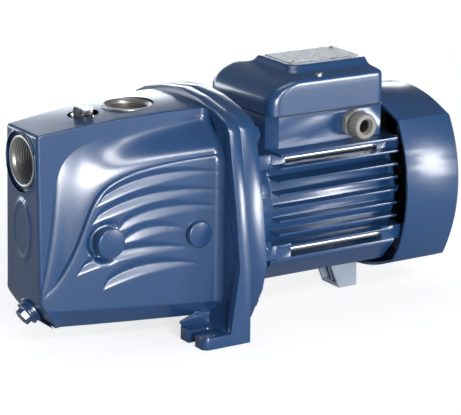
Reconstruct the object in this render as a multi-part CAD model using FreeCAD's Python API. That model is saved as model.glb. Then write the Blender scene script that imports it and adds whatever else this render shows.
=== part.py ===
import FreeCAD, Part
import math
import os

# Shallow well jet pump, close coupled to a finned single-phase motor.
# Millimetres, +Z up, +X along the shaft from the suction port towards the fan.
# The origin lies on the floor, under the middle of the whole pump.
# Sizes along X are given from the joint plane of pump body and bracket.
# Each node is one bench piece and is written to parts/NODE.step.

V = FreeCAD.Vector
EX, EY, EZ = V(1, 0, 0), V(0, 1, 0), V(0, 0, 1)
os.makedirs("parts", exist_ok=True)

# ------------------------------------------------------------------ overall sizes
AXIS_H = 104.0            # shaft axis above the floor
FIT = 0.05                # radial gap of assembled pieces that don't turn
RUN = 0.5                 # gap round pieces that turn

# ------------------------------------------------------------------ pump body
BODY_LEN = 172.0          # joint plane to the suction face
BODY_WALL = 6.0
NOSE_HALF_W = 31.0        # half width of the block that carries the ports
NOSE_TOP_Z = 193.0
NOSE_LOW_Z = 43.0
CHAMFER_BACK = 18.0       # how far the lower front edge is cut back
CASING_TOP_Z = 203.0      # top of the bell at the flange
CASING_LOW_Z = 17.0       # underside of the casing
CASING_HALF_W = 73.0      # half width of the bell where it meets the flange
TOP_HALF_W = 42.0
BULGE_POWER = 0.85        # below one makes the sides belly out
SHOULDER_POWER = 2.0      # above one keeps the shoulders narrow until near the flange
FLANGE_T = 11.5           # body half of the joint flange
FLANGE_HALF_W = 103.0
FLANGE_TOP_Z = 212.0
FLANGE_EAR_HALF_W = 82.0
SUCTION_Z = 165.0
PORT_R = 19.5             # tapping radius of the G 1 1/4 ports
PORT_DEPTH = 22.0
PORT_BOSS_R = 27.5
PORT_RING_R = 20.9        # chamfered mouth of a port
PORT_FACE_R = 26.0        # spot face round the suction port
PORT_TOP_Z = 201.5
RECESS_DEPTH = 2.5
DISCHARGE_X = -66.0       # from the joint plane
PRIMING_X = -111.0
PRIMING_FLOOR_Z = 195.0
DRAIN_DROP = 35.0         # degrees that the drain points below level
DRAIN_BOSS_R = 12.5
SIDE_BOSS_X = (-100.0, -29.0)
SIDE_BOSS_Y = (60.0, 74.0)
SIDE_BOSS_R = (13.5, 12.0)
SIDE_BOSS_Z = 94.0
SUCTION_WALL_X = -138.0   # partition between suction chamber and pressure chamber
SUCTION_WALL_T = 7.0
FOOT_HALF_SPAN = 82.0     # bolt slots from the centre line
FOOT_SLOT_X = -30.0       # middle of the slot's round end
FOOT_SLOT_W = 11.0
FOOT_PAD_T = 11.0
FOOT_PAD_FRONT = 48.0     # pad in front of the joint plane
FOOT_PAD_INNER_Y = 59.0

# ------------------------------------------------------------------ screw plugs
PLUG_THREAD_R = 6.5
PLUG_FREE = 0.06          # radial play of the screwed plugs and the gland nut
PLUG_LEN = 10.0
PLUG_HEX = 17.0
PLUG_HEAD_T = 6.0
PLUG_COLLAR_R = 11.5
PLUG_COLLAR_T = 2.2
PLUG_SEAL_T = 2.0
PLUG_SPOT_R = 14.0

# ------------------------------------------------------------------ hydraulic insert
IMPELLER_R = 47.0
IMPELLER_T = 15.0
IMPELLER_EYE_R = 17.0
IMPELLER_GAP = 10.0       # impeller back to the joint plane
IMPELLER_VANES = 6
SHROUD_T = 2.0
DIFFUSER_R = 61.0
DIFFUSER_WALL = 3.0
DIFFUSER_VANES = 8
INLET_R = 21.0            # bore of the diffuser snout
SNOUT_LEN = 16.0
VENTURI_THROAT_R = 8.0
VENTURI_WALL = 3.0
VENTURI_GAP = 12.0        # nozzle tip to throat mouth
NOZZLE_TIP_R = 5.5
NOZZLE_LEN = 26.0
NOZZLE_SEAT_R = 15.0
BODY_CAVITY_R = DIFFUSER_R + 6.0      # round mouth of the casing that takes the diffuser
CASING_SEAL_R = BODY_CAVITY_R + 3.6
SEAL_CORD_R = 1.0         # of the two O-rings
KEY_W = 4.0
KEY_UP = 1.6              # key above the shaft surface
KEY_DOWN = 1.6            # and below it
NUT_T = 6.5
STUD_R = 4.0

# ------------------------------------------------------------------ shaft seal
SHAFT_WET_R = 7.0
SEAT_R = 13.0
SEAT_T = 7.0
SEAT_CUP_T = 1.5
SEAL_CHAMBER_R = 20.0
SEAL_HEAD_LEN = 15.0
SEAL_FACE_R = 11.0

# ------------------------------------------------------------------ bearings
BEARING_BORE_R = 8.5
BEARING_R = 20.0
BEARING_W = 12.0
BALL_R = 3.37
BALL_PITCH_R = 14.25
BALL_COUNT = 8
RACE_PLAY = 0.03

# ------------------------------------------------------------------ motor bracket
BRACKET_T = 16.5          # flange of the bracket
BRACKET_DRUM_R = 62.0
BRACKET_DRUM_WALL = 7.0
BRACKET_LEN = 48.0        # joint plane to the stator housing
BOLT_R = 4.0
BOLT_HEX = 13.0
BOLT_HEAD_T = 5.5

# ------------------------------------------------------------------ motor
HOUSING_LEN = 134.0
HOUSING_BORE_R = 56.0
HOUSING_WALL = 4.0
FIN_HALF_W = 71.0
FIN_T = 2.0
FIN_PITCH = 12.3
SIDE_FINS = 7
SEAT_PLATE_Z = 158.0      # top plate that the terminal box stands on
SKIRT_Z = 61.0            # top of the slanted lower skirt
SKIRT_LOW_Z = 38.0
SKIRT_HALF_W = 52.0
TIE_LOW = (64.0, -37.0)   # tie rods from the shaft axis, across and up
TIE_HIGH = (52.0, 45.0)
TIE_R = 3.0
TIE_BOSS = 6.6            # half size of the square bosses
CORE_LEN = 90.0
CORE_R = 55.95
ROTOR_R = 29.5
AIR_GAP = 0.5
STATOR_SLOTS = 24
ROTOR_BARS = 18
END_TURN = 16.0
SHAFT_CORE_R = 10.0

# ------------------------------------------------------------------ fan and cover
FAN_R = 66.0
FAN_W = 24.0
FAN_BLADES = 7
SHAFT_FAN_R = 6.0
FAN_HUB_R = 13.0
FAN_BLADE_T = 2.4
COVER_HALF = 84.0         # half size across the bulged sides
COVER_BULGE_R = 135.0
COVER_CORNER_Y = 50.5
COVER_CORNER_Z = 68.0
COVER_LEN = 63.0
COVER_WALL = 2.5
GRILLE_RINGS = [(14 + 8 * k, 18.5 + 8 * k) for k in range(6)]
COVER_SCREW_SIDES = (0.0, 270.0)      # far side and underside, as angles from +Y towards +Z
COVER_SCREW_X = 8.0       # from the rear of the housing
COVER_SCREW_R = 1.5

# ------------------------------------------------------------------ terminal box
BOX_X0 = 51.6             # from the joint plane
BOX_X1 = 176.4
BOX_HALF_W = 52.8
BOX_CORNER = 9.0
BOX_REAR_CORNER = 3.0
BOX_SEAM_Z = 187.5
BOX_WALL = 3.0
LID_SIDE_Z = 220.0
LID_TOP_Z = 227.0
LID_FRONT_Z = 204.0
GASKET_T = 0.8
LID_SCREW_X = 108.0
LID_PILLAR_R = 4.5
LID_HEAD_R = 3.4
LID_PILLAR_Y = BOX_HALF_W - BOX_WALL - 4.4
LID_FRONT_R = 30.0        # length of the rounded front of the lid
LID_BEVEL_W = 4.0         # bevel along its two long edges
LID_BEVEL_H = 7.0
CABLE_HOLE_R = 9.0        # way from the box down to the windings
WIRE_X = 64.0
BOARD_Z = AXIS_H + HOUSING_BORE_R + HOUSING_WALL + BOX_WALL
BOARD_T = 9.0
CAPACITOR_R = 12.0
CAPACITOR_Y = 27.0
CAPACITOR_X = (88.0, 160.0)
SADDLE_X = (116.0, 130.0)
GLAND_X = 142.0
GLAND_Z = 173.0
GLAND_THREAD_R = 9.0
GLAND_HOLE_R = 5.5
GLAND_HEX = 24.0
PLATE_X0, PLATE_X1, PLATE_HALF_W, PLATE_T = 93.5, 169.5, 22.0, 0.6
MOTOR_FOOT_X = 170.0
MOTOR_FOOT_HALF_W = 14.2
MOTOR_FOOT_LEN = 20.0
MOTOR_FOOT_TOP = 33.0
FOOT_SCREW_X = (MOTOR_FOOT_X - 17, MOTOR_FOOT_X + 1)

# ------------------------------------------------------------------ stations along the shaft
HOUSE_X0 = BRACKET_LEN
HOUSE_X1 = BRACKET_LEN + HOUSING_LEN
COVER_X0 = HOUSE_X1 + 2.5
COVER_X1 = COVER_X0 + COVER_LEN
DRAIN_AXIS = V(-math.cos(math.radians(DRAIN_DROP)), 0, -math.sin(math.radians(DRAIN_DROP)))
DRAIN_BASE = V(-BODY_LEN + CHAMFER_BACK / 2, 0, (NOSE_LOW_Z + CASING_LOW_Z) / 2) + DRAIN_AXIS * 3.0
IMP_BACK = -IMPELLER_GAP
IMP_FRONT = IMP_BACK - IMPELLER_T
NUT_X1 = IMP_FRONT + 3.0
NUT_FLATS = 2 * SHAFT_WET_R + 3.0             # wide enough to bear on the impeller hub
DIFF_FRONT = IMP_FRONT - 3.0 - DIFFUSER_WALL
SNOUT_FRONT = DIFF_FRONT - SNOUT_LEN
NOZZLE_BACK = SUCTION_WALL_X - SUCTION_WALL_T / 2 - 4.0
NOZZLE_TIP = NOZZLE_BACK + NOZZLE_LEN
VENTURI_MOUTH = NOZZLE_TIP + VENTURI_GAP - 6
VENTURI_END = SNOUT_FRONT + 8.0
SEAL_FACE_X = IMP_BACK + SEAL_HEAD_LEN        # running face between carbon and ceramic
SEAT_X1 = SEAL_FACE_X + SEAT_T
BRG1_X = BRACKET_LEN - 3 - BEARING_W
BRG2_X = HOUSE_X1 + 4.0
CORE_X0 = HOUSE_X0 + (HOUSING_LEN - CORE_LEN) / 2
CORE_X1 = CORE_X0 + CORE_LEN
FAN_X0 = BRG2_X + BEARING_W + 10.0
AXIS0 = V(0, 0, AXIS_H)
BOLT_PLACES = [
    (y, z) for side in (1, -1) for y, z in (
        (side * (FLANGE_EAR_HALF_W - 11), FLANGE_TOP_Z - 31),
        (side * (FLANGE_HALF_W - 9.5), AXIS_H - 22),
        (side * (FLANGE_HALF_W - 30), CASING_LOW_Z + 12))
]
TIE_PLACES = [(side * y, AXIS_H + z) for side in (1, -1) for y, z in (TIE_LOW, TIE_HIGH)]
nodes = {}


# ------------------------------------------------------------------ helpers
def save(name, *shapes):
    """Keeps the solids as one node and stops on an invalid one."""
    solids = [s for shape in shapes for s in shape.Solids]
    if not solids or any(not s.isValid() or s.Volume <= 0 for s in solids):
        raise RuntimeError(f"{name} has no valid solid")
    nodes[name] = solids[0] if len(solids) == 1 else Part.makeCompound(solids)


def cyl(r, x0, x1, y=0.0, z=AXIS_H):
    """Cylinder along X between two distances from the joint plane."""
    return Part.makeCylinder(r, x1 - x0, V(x0, y, z), EX)


def tube(r_out, r_in, x0, x1, y=0.0, z=AXIS_H):
    return cyl(r_out, x0, x1, y, z).cut(cyl(r_in, x0 - 1, x1 + 1, y, z))


def cone(r0, r1, x0, x1, z=AXIS_H):
    return Part.makeCone(r0, r1, x1 - x0, V(x0, 0, z), EX)


def block(x0, x1, y0, y1, z0, z1):
    """Box with its X limits measured from the joint plane."""
    return Part.makeBox(x1 - x0, y1 - y0, z1 - z0, V(x0, y0, z0))


def wire(points):
    return Part.makePolygon([V(*p) for p in points] + [V(*points[0])])


def prism_x(yz, x0, x1):
    """Closed outline in Y and Z, drawn out along X."""
    return Part.Face(wire([(x0, y, z) for y, z in yz])).extrude(EX * (x1 - x0))


def prism_y(xz, y0, y1):
    return Part.Face(wire([(x, y0, z) for x, z in xz])).extrude(EY * (y1 - y0))


def hexagon(flats, centre, axis, length, turn=0.0):
    """Hexagonal bar from centre along axis."""
    r = flats / math.sqrt(3)
    side = EZ.cross(axis) if abs(axis.z) < 0.9 else EX
    up = axis.cross(side)
    angles = [math.radians(60 * k + turn) for k in range(6)]
    points = [centre + side * (r * math.cos(a)) + up * (r * math.sin(a)) for a in angles]
    return Part.Face(Part.makePolygon(points + points[:1])).extrude(axis * length)


def ring(r_major, r_minor, centre, axis):
    return Part.makeTorus(r_major, r_minor, centre, axis)


def mirrored(shape):
    """The shape and its mirror image across the XZ plane."""
    return [shape, shape.mirror(V(0, 0, 0), EY)]


def turned(shape, count, centre, axis=EX, offset=0.0):
    """Copies of a shape spaced evenly round an axis."""
    copies = []
    for k in range(count):
        copy = shape.copy()
        copy.rotate(centre, axis, offset + 360.0 * k / count)
        copies.append(copy)
    return copies


def fuse(shapes):
    shapes = list(shapes)
    return shapes[0].multiFuse(shapes[1:]).removeSplitter() if len(shapes) > 1 else shapes[0]


def rounded(shape, radius, axis):
    """Fillets the straight edges that run along an axis, where the shape takes it."""
    edges = [e for e in shape.Edges if len(e.Vertexes) == 2
             and abs(abs((e.Vertexes[1].Point - e.Vertexes[0].Point).normalize().dot(axis)) - 1) < 1e-6]
    return shape.makeFillet(radius, edges)


# ------------------------------------------------------------------ pump body casting
def casing_section(x, inset):
    """Closed outline of the casing at x, drawn inwards by inset."""
    share = (x + BODY_LEN) / (BODY_LEN - FLANGE_T)

    def between(at_nose, at_flange, power=1.0):
        return at_nose + (at_flange - at_nose) * share ** power - inset

    top = between(NOSE_TOP_Z, CASING_TOP_Z)
    low = CASING_LOW_Z + inset
    side = [
        (between(NOSE_HALF_W - 3, TOP_HALF_W), top),
        (between(NOSE_HALF_W - 1, CASING_HALF_W - 7, SHOULDER_POWER), CASING_TOP_Z - 28),
        (between(NOSE_HALF_W + 1, CASING_HALF_W, BULGE_POWER), AXIS_H),
        (between(NOSE_HALF_W, CASING_HALF_W - 3, BULGE_POWER), CASING_LOW_Z + 20),
        (between(NOSE_HALF_W - 7, CASING_HALF_W - 22), low),
    ]
    near = [V(x, -y, z) for y, z in side]
    far = [V(x, y, z) for y, z in reversed(side)]
    edges = []
    for points in (near, far):
        curve = Part.BSplineCurve()
        curve.interpolate(points)
        edges.append(curve.toShape())
    return Part.Wire([edges[0], Part.makeLine(near[-1], far[0]), edges[1], Part.makeLine(far[-1], near[0])])


def casing_form(inset):
    """Block at the ports that widens into the bell, with its lower front edge cut back."""
    x_front = -BODY_LEN + inset
    stations = [x_front + (-FLANGE_T - x_front) * k / 4 for k in range(5)]
    form = Part.makeLoft([casing_section(x, inset) for x in stations], True)
    low, back = NOSE_LOW_Z + 0.8 * inset, CHAMFER_BACK
    cut = prism_y([(x_front - 5, low + 0.01), (x_front, low), (x_front + back, CASING_LOW_Z - 4 + inset),
                   (x_front + back, CASING_LOW_Z - 9), (x_front - 5, CASING_LOW_Z - 9)], -80, 80)
    return form.cut(cut)


def flange_outline():
    """Upper half of the joint flange with its shoulders, as Y and Z."""
    ear = FLANGE_EAR_HALF_W
    return [
        (0.0, FLANGE_TOP_Z),
        (30.0, FLANGE_TOP_Z - 3),
        (60.0, FLANGE_TOP_Z - 10),
        (ear - 6, FLANGE_TOP_Z - 17),
        (ear, FLANGE_TOP_Z - 23),
        (FLANGE_HALF_W - 8, AXIS_H + 20),
        (FLANGE_HALF_W, AXIS_H - 35),
    ]


def body_flange():
    inner = FOOT_PAD_INNER_Y
    half = flange_outline() + [(FLANGE_HALF_W, 0.0), (inner, 0.0), (inner, CASING_LOW_Z - 4)]
    points = half + [(-y, z) for y, z in reversed(half[1:])]
    return prism_x(points, -FLANGE_T, 0)


def bracket_outline():
    half = flange_outline() + [(FLANGE_HALF_W - 6, 45.0), (FLANGE_HALF_W - 24, 14.0), (40.0, 12.0)]
    return half + [(-y, z) for y, z in reversed(half[1:])]


def foot():
    """One foot: pad with an open bolt slot, and the side web up to the flange."""
    y0, y1 = FOOT_PAD_INNER_Y, FLANGE_HALF_W
    pad = rounded(block(-FOOT_PAD_FRONT, -FLANGE_T, y0, y1, 0, FOOT_PAD_T), 6.0, EZ)
    pad = pad.fuse(block(-FLANGE_T - 8, -FLANGE_T + 1, y0, y1, 0, FOOT_PAD_T))
    web = prism_y([(-FLANGE_T + 1, AXIS_H - 35), (-FLANGE_T, AXIS_H - 35), (-FLANGE_T - 9, FOOT_PAD_T - 1),
                   (-FLANGE_T + 1, FOOT_PAD_T - 1)], y1 - 8, y1)
    r = FOOT_SLOT_W / 2
    slot = Part.makeCylinder(r, FOOT_PAD_T + 2, V(FOOT_SLOT_X, FOOT_HALF_SPAN, -1), EZ)
    y0, y1 = FOOT_HALF_SPAN - r, FOOT_HALF_SPAN + r
    mouth = block(-FOOT_PAD_FRONT - 1, FOOT_SLOT_X, y0, y1, -1, FOOT_PAD_T + 1)
    slot = slot.fuse(mouth)
    return pad.fuse(web).cut(slot)


def side_bosses():
    """Two round pads on each side of the casing."""
    bosses = []
    for x, y, r in zip(SIDE_BOSS_X, SIDE_BOSS_Y, SIDE_BOSS_R):
        bosses += mirrored(Part.makeCylinder(r, 30, V(x, y - 30, SIDE_BOSS_Z), EY))
    return bosses


def pump_body():
    x_front, x_wall = -BODY_LEN, SUCTION_WALL_X
    half_wall = SUCTION_WALL_T / 2
    drain_in = -DRAIN_AXIS
    outer = fuse([
        casing_form(0),
        body_flange(),
        *mirrored(foot()),
        Part.makeCylinder(PORT_BOSS_R, 30, V(DISCHARGE_X, 0, PORT_TOP_Z - 30), EZ),
        Part.makeCylinder(DRAIN_BOSS_R, 22, DRAIN_BASE, drain_in),
        *side_bosses(),
    ])
    solid_bits = fuse([
        block(x_wall - half_wall, x_wall + half_wall, -60, 60, 0, 220),
        Part.makeCylinder(PORT_BOSS_R, PORT_DEPTH, V(DISCHARGE_X, 0, PORT_TOP_Z - PORT_DEPTH), EZ),
        Part.makeCylinder(PLUG_SPOT_R, PLUG_LEN + 4, V(PRIMING_X, 0, PRIMING_FLOOR_Z - PLUG_LEN - 1), EZ),
        cyl(PORT_BOSS_R, x_front, x_front + PORT_DEPTH, 0, SUCTION_Z),
        Part.makeCylinder(DRAIN_BOSS_R, 20, DRAIN_BASE, drain_in),
    ])
    cavity = casing_form(BODY_WALL).fuse(cyl(BODY_CAVITY_R, -FLANGE_T - 8, 1))
    cavity = cavity.cut(solid_bits)
    tools = [
        cavity,
        cyl(PORT_R, x_front - 5, x_front + PORT_DEPTH + 1, 0, SUCTION_Z),
        cone(PORT_RING_R, PORT_R, x_front + RECESS_DEPTH, x_front + RECESS_DEPTH + 2, SUCTION_Z),
        cyl(PORT_FACE_R, x_front - 5, x_front + RECESS_DEPTH, 0, SUCTION_Z),
        Part.makeCylinder(PORT_R, 60, V(DISCHARGE_X, 0, PORT_TOP_Z - PORT_DEPTH - 8), EZ),
        Part.makeCone(PORT_R, PORT_RING_R, 2, V(DISCHARGE_X, 0, PORT_TOP_Z - 1.99), EZ),
        Part.makeCylinder(PORT_FACE_R, 30, V(DISCHARGE_X, 0, PORT_TOP_Z), EZ),
        Part.makeCylinder(PLUG_THREAD_R + PLUG_FREE, 60, V(PRIMING_X, 0, PRIMING_FLOOR_Z - 30), EZ),
        Part.makeCylinder(PLUG_SPOT_R, 30, V(PRIMING_X, 0, PRIMING_FLOOR_Z), EZ),
        Part.makeCylinder(PLUG_THREAD_R + PLUG_FREE, 60, DRAIN_BASE - drain_in * 20, drain_in),
        cyl(NOZZLE_SEAT_R + FIT, x_wall - half_wall - 1, x_wall + half_wall + 1),
    ]
    tools += [cyl(BOLT_R - 0.6, -FLANGE_T - 1, 1, y, z) for y, z in BOLT_PLACES]
    tools.append(tube(CASING_SEAL_R + 2.2, CASING_SEAL_R - 2.2, -2.0, 1))
    body = outer
    for tool in tools:
        body = body.cut(tool)
    solids = sorted(body.Solids, key=lambda s: -s.Volume)
    return solids[0].removeSplitter()


def screw_plug(base, axis):
    """Collar, hexagon and thread of a plug whose seal stands on base, and the seal itself."""
    collar_at = base + axis * PLUG_SEAL_T
    thread = Part.makeCylinder(PLUG_THREAD_R, PLUG_LEN, base + axis * (PLUG_SEAL_T - PLUG_LEN), axis)
    collar = Part.makeCylinder(PLUG_COLLAR_R, PLUG_COLLAR_T, collar_at, axis)
    head_at = collar_at + axis * PLUG_COLLAR_T
    crown_r = PLUG_HEX / 2 + 0.6
    crown = Part.makeCone(crown_r + PLUG_HEAD_T + 0.6, crown_r, PLUG_HEAD_T + 0.6, head_at, axis)
    head = hexagon(PLUG_HEX, head_at, axis, PLUG_HEAD_T).common(crown)
    plug = fuse([thread, collar, head])
    seal = Part.makeCylinder(PLUG_COLLAR_R - 1, PLUG_SEAL_T, base, axis)
    seal = seal.cut(Part.makeCylinder(PLUG_THREAD_R + PLUG_FREE, PLUG_SEAL_T, base, axis))
    return plug, seal


def make_pump_end():
    save("pump_body", pump_body())
    plug, seal = screw_plug(V(PRIMING_X, 0, PRIMING_FLOOR_Z), EZ)
    save("priming_plug", plug)
    save("priming_plug_seal", seal)
    plug, seal = screw_plug(DRAIN_BASE, DRAIN_AXIS)
    save("drain_plug", plug)
    save("drain_plug_seal", seal)
    save("casing_seal", ring(CASING_SEAL_R, SEAL_CORD_R, V(-SEAL_CORD_R, 0, AXIS_H), EX))


# ------------------------------------------------------------------ ejector, diffuser and impeller
def ejector_nozzle():
    """Collar against the partition, seat through it and the tapering tip."""
    bore_r = NOZZLE_SEAT_R - 4
    wall_x0, wall_x1 = SUCTION_WALL_X - SUCTION_WALL_T / 2, SUCTION_WALL_X + SUCTION_WALL_T / 2
    collar = tube(NOZZLE_SEAT_R + 4, bore_r, NOZZLE_BACK, wall_x0 - FIT)
    seat = tube(NOZZLE_SEAT_R, bore_r, wall_x0 - FIT - 0.1, wall_x1 + 2)
    x0 = wall_x1 + 1.5
    tip = cone(NOZZLE_SEAT_R, NOZZLE_TIP_R + 2, x0, NOZZLE_TIP)
    hollow = cone(bore_r, NOZZLE_TIP_R, x0 - 0.01, NOZZLE_TIP + 0.01)
    return fuse([collar, seat, tip.cut(hollow)])


def venturi_tube():
    """Entry cone, throat and long diffusing cone, with a collar that slides into the diffuser snout."""
    x1, x2, x3 = VENTURI_MOUTH, VENTURI_MOUTH + 12, VENTURI_END
    mouth_r, end_r = 15.0, INLET_R - 4.5
    w = VENTURI_WALL
    outer = fuse([cone(mouth_r + w, VENTURI_THROAT_R + w, x1, x2),
                  cone(VENTURI_THROAT_R + w, end_r + w, x2, x3 - 6), cyl(INLET_R - FIT, x3 - 6, x3)])
    inner = fuse([cone(mouth_r, VENTURI_THROAT_R, x1 - 0.01, x2), cone(VENTURI_THROAT_R, end_r, x2, x3 - 6),
                  cyl(end_r, x3 - 6, x3 + 1)])
    groove = tube(INLET_R + 1, INLET_R - 2.2, x3 - 4.4, x3 - 1.8)
    # a hoop on three legs stands against the partition and keeps the nozzle in line
    ring_r = NOZZLE_SEAT_R + 2
    x_hoop = SUCTION_WALL_X + SUCTION_WALL_T / 2 + FIT
    leg = block(x_hoop, x1 + 6, -2, 2, AXIS_H + ring_r + 1, AXIS_H + ring_r + 4)
    hoop = tube(ring_r + 4, ring_r + 0.5, x_hoop, x_hoop + 5)
    rim = tube(ring_r + 4, mouth_r + 0.5, x1 + 0.5, x1 + 4)
    return fuse([outer.cut(inner).cut(groove), hoop, rim, *turned(leg, 3, AXIS0)])


def diffuser():
    """Bowl round the impeller with guide vanes and the snout that takes the venturi tube."""
    back = 0.0
    front_wall = tube(DIFFUSER_R, INLET_R, DIFF_FRONT, DIFF_FRONT + DIFFUSER_WALL)
    snout = tube(INLET_R + 3, INLET_R, SNOUT_FRONT, DIFF_FRONT + 1)
    rim = tube(DIFFUSER_R, DIFFUSER_R - DIFFUSER_WALL, DIFF_FRONT, back)
    lip = tube(BODY_CAVITY_R - FIT, DIFFUSER_R - 1, back - 4, back)
    vane_in = IMPELLER_R + 3.0
    vane = block(DIFF_FRONT + 1, back - 3, -1.2, 1.2, AXIS_H + vane_in, AXIS_H + DIFFUSER_R - 1)
    vane.rotate(V(0, 0, AXIS_H + (vane_in + DIFFUSER_R) / 2), EX, 38)
    limit = cyl(DIFFUSER_R - 0.5, DIFF_FRONT, back).cut(cyl(vane_in - 0.5, DIFF_FRONT - 1, back + 1))
    vanes = [v.common(limit) for v in turned(vane, DIFFUSER_VANES, AXIS0)]
    windows = turned(block(DIFF_FRONT + DIFFUSER_WALL + 1, back - 6, -9, 9, AXIS_H + DIFFUSER_R - 6,
                           AXIS_H + DIFFUSER_R + 3), DIFFUSER_VANES, AXIS0, EX, 180.0 / DIFFUSER_VANES)
    bowl = fuse([front_wall, snout, rim, lip, *vanes])
    for window in windows:
        bowl = bowl.cut(window)
    return bowl


def impeller():
    hub_r = SHAFT_WET_R + 4.5
    back = tube(IMPELLER_R, SHAFT_WET_R, IMP_BACK - SHROUD_T, IMP_BACK)
    front = tube(IMPELLER_R, IMPELLER_EYE_R, IMP_FRONT, IMP_FRONT + SHROUD_T)
    eye = tube(IMPELLER_EYE_R + 2, IMPELLER_EYE_R, IMP_FRONT - 5, IMP_FRONT + 1)
    hub = tube(hub_r, SHAFT_WET_R, IMP_FRONT + 3, IMP_BACK)
    vanes = []
    for k in range(IMPELLER_VANES):
        start = 2 * math.pi * k / IMPELLER_VANES
        points_out, points_in = [], []
        for step in range(7):
            s = step / 6
            r = hub_r + 8 + (IMPELLER_R - hub_r - 8.6) * s
            a = start - 1.15 * s
            for sign, points in ((1, points_out), (-1, points_in)):
                shift = sign * 0.9 / r
                points.append((r * math.cos(a + shift), AXIS_H + r * math.sin(a + shift)))
        vanes.append(prism_x(points_out + points_in[::-1], IMP_FRONT + 1, IMP_BACK - 1))
    whole = fuse([back, front, eye, hub, *vanes])
    slot_top = AXIS_H + SHAFT_WET_R + KEY_UP
    return whole.cut(block(IMP_FRONT, IMP_BACK + 1, -KEY_W / 2, KEY_W / 2, AXIS_H, slot_top))


def make_hydraulics():
    save("ejector_nozzle", ejector_nozzle())
    save("venturi_tube", venturi_tube())
    save("venturi_seal", ring(INLET_R - 1.15, SEAL_CORD_R, V(VENTURI_END - 3.1, 0, AXIS_H), EX))
    save("diffuser", diffuser())
    save("impeller", impeller())
    half_key, on_shaft = KEY_W / 2 - FIT, AXIS_H + SHAFT_WET_R
    key = block(IMP_FRONT + 4, IMP_BACK - 0.2, -half_key, half_key, on_shaft - KEY_DOWN + FIT,
                on_shaft + KEY_UP - FIT)
    save("impeller_key", key)
    nut = hexagon(NUT_FLATS, V(NUT_X1, 0, AXIS_H), -EX, NUT_T)
    nut = nut.cut(cyl(STUD_R + FIT, NUT_X1 - NUT_T - 1, NUT_X1 + 1))
    save("impeller_nut", nut)


# ------------------------------------------------------------------ shaft seal
def make_seal():
    seat = tube(SEAT_R - SEAT_CUP_T, SHAFT_WET_R + RUN, SEAL_FACE_X, SEAT_X1 - SEAT_CUP_T)
    cup = tube(SEAT_R, SEAT_R - SEAT_CUP_T, SEAL_FACE_X + 1, SEAT_X1).fuse(
        tube(SEAT_R, SHAFT_WET_R + RUN + 1, SEAT_X1 - SEAT_CUP_T, SEAT_X1))
    save("seal_seat", seat)
    save("seal_seat_cup", cup.removeSplitter())
    carbon = tube(SEAL_FACE_R - 0.5, SHAFT_WET_R + 1.2, SEAL_FACE_X - 4, SEAL_FACE_X - FIT)
    save("seal_carbon_ring", carbon)
    bellows = tube(SEAL_FACE_R - 2.2, SHAFT_WET_R + FIT, IMP_BACK + 2.2, SEAL_FACE_X - 5).fuse(
        tube(SEAL_FACE_R, SHAFT_WET_R + FIT, SEAL_FACE_X - 6, SEAL_FACE_X - 4))
    save("seal_bellows", bellows.removeSplitter())
    retainer = tube(SEAL_FACE_R + 1.4, SHAFT_WET_R + FIT, IMP_BACK + 0.05, IMP_BACK + 2.2)
    save("seal_retainer", retainer)
    turns, x0, x1, wire_r = 2.5, IMP_BACK + 3.0, SEAL_FACE_X - 6.8, 0.6
    helix = Part.makeHelix((x1 - x0) / turns, x1 - x0, SEAL_FACE_R)
    angles = [math.radians(22.5 + 45 * k) for k in range(8)]
    corners = [V(SEAL_FACE_R + wire_r * math.cos(a), 0, wire_r * math.sin(a)) for a in angles]
    spring = Part.Wire(helix).makePipeShell([Part.makePolygon(corners + corners[:1])], True, True)
    spring.rotate(V(0, 0, 0), EY, 90)
    spring.translate(V(x0, 0, AXIS_H))
    save("seal_spring", spring)


# ------------------------------------------------------------------ bearings
def make_bearing(name, x):
    """Deep groove ball bearing whose rings, cage and balls are separate pieces."""
    mid = x + BEARING_W / 2
    centre = V(mid, 0, AXIS_H)
    race = ring(BALL_PITCH_R, BALL_R + RACE_PLAY, centre, EX)
    save(name + "_bearing_outer_ring", tube(BEARING_R, BALL_PITCH_R + 2.2, x, x + BEARING_W).cut(race))
    save(name + "_bearing_inner_ring", tube(BALL_PITCH_R - 2.2, BEARING_BORE_R, x, x + BEARING_W).cut(race))
    ball = Part.makeSphere(BALL_R, centre + EZ * BALL_PITCH_R)
    balls = turned(ball, BALL_COUNT, centre)
    save(name + "_bearing_balls", *balls)
    pocket = Part.makeSphere(BALL_R + 0.15, centre + EZ * BALL_PITCH_R)
    cage = tube(BALL_PITCH_R + 1.1, BALL_PITCH_R - 1.1, mid - 4, mid + 4)
    for copy in turned(pocket, BALL_COUNT, centre):
        cage = cage.cut(copy)
    save(name + "_bearing_cage", cage)


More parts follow.
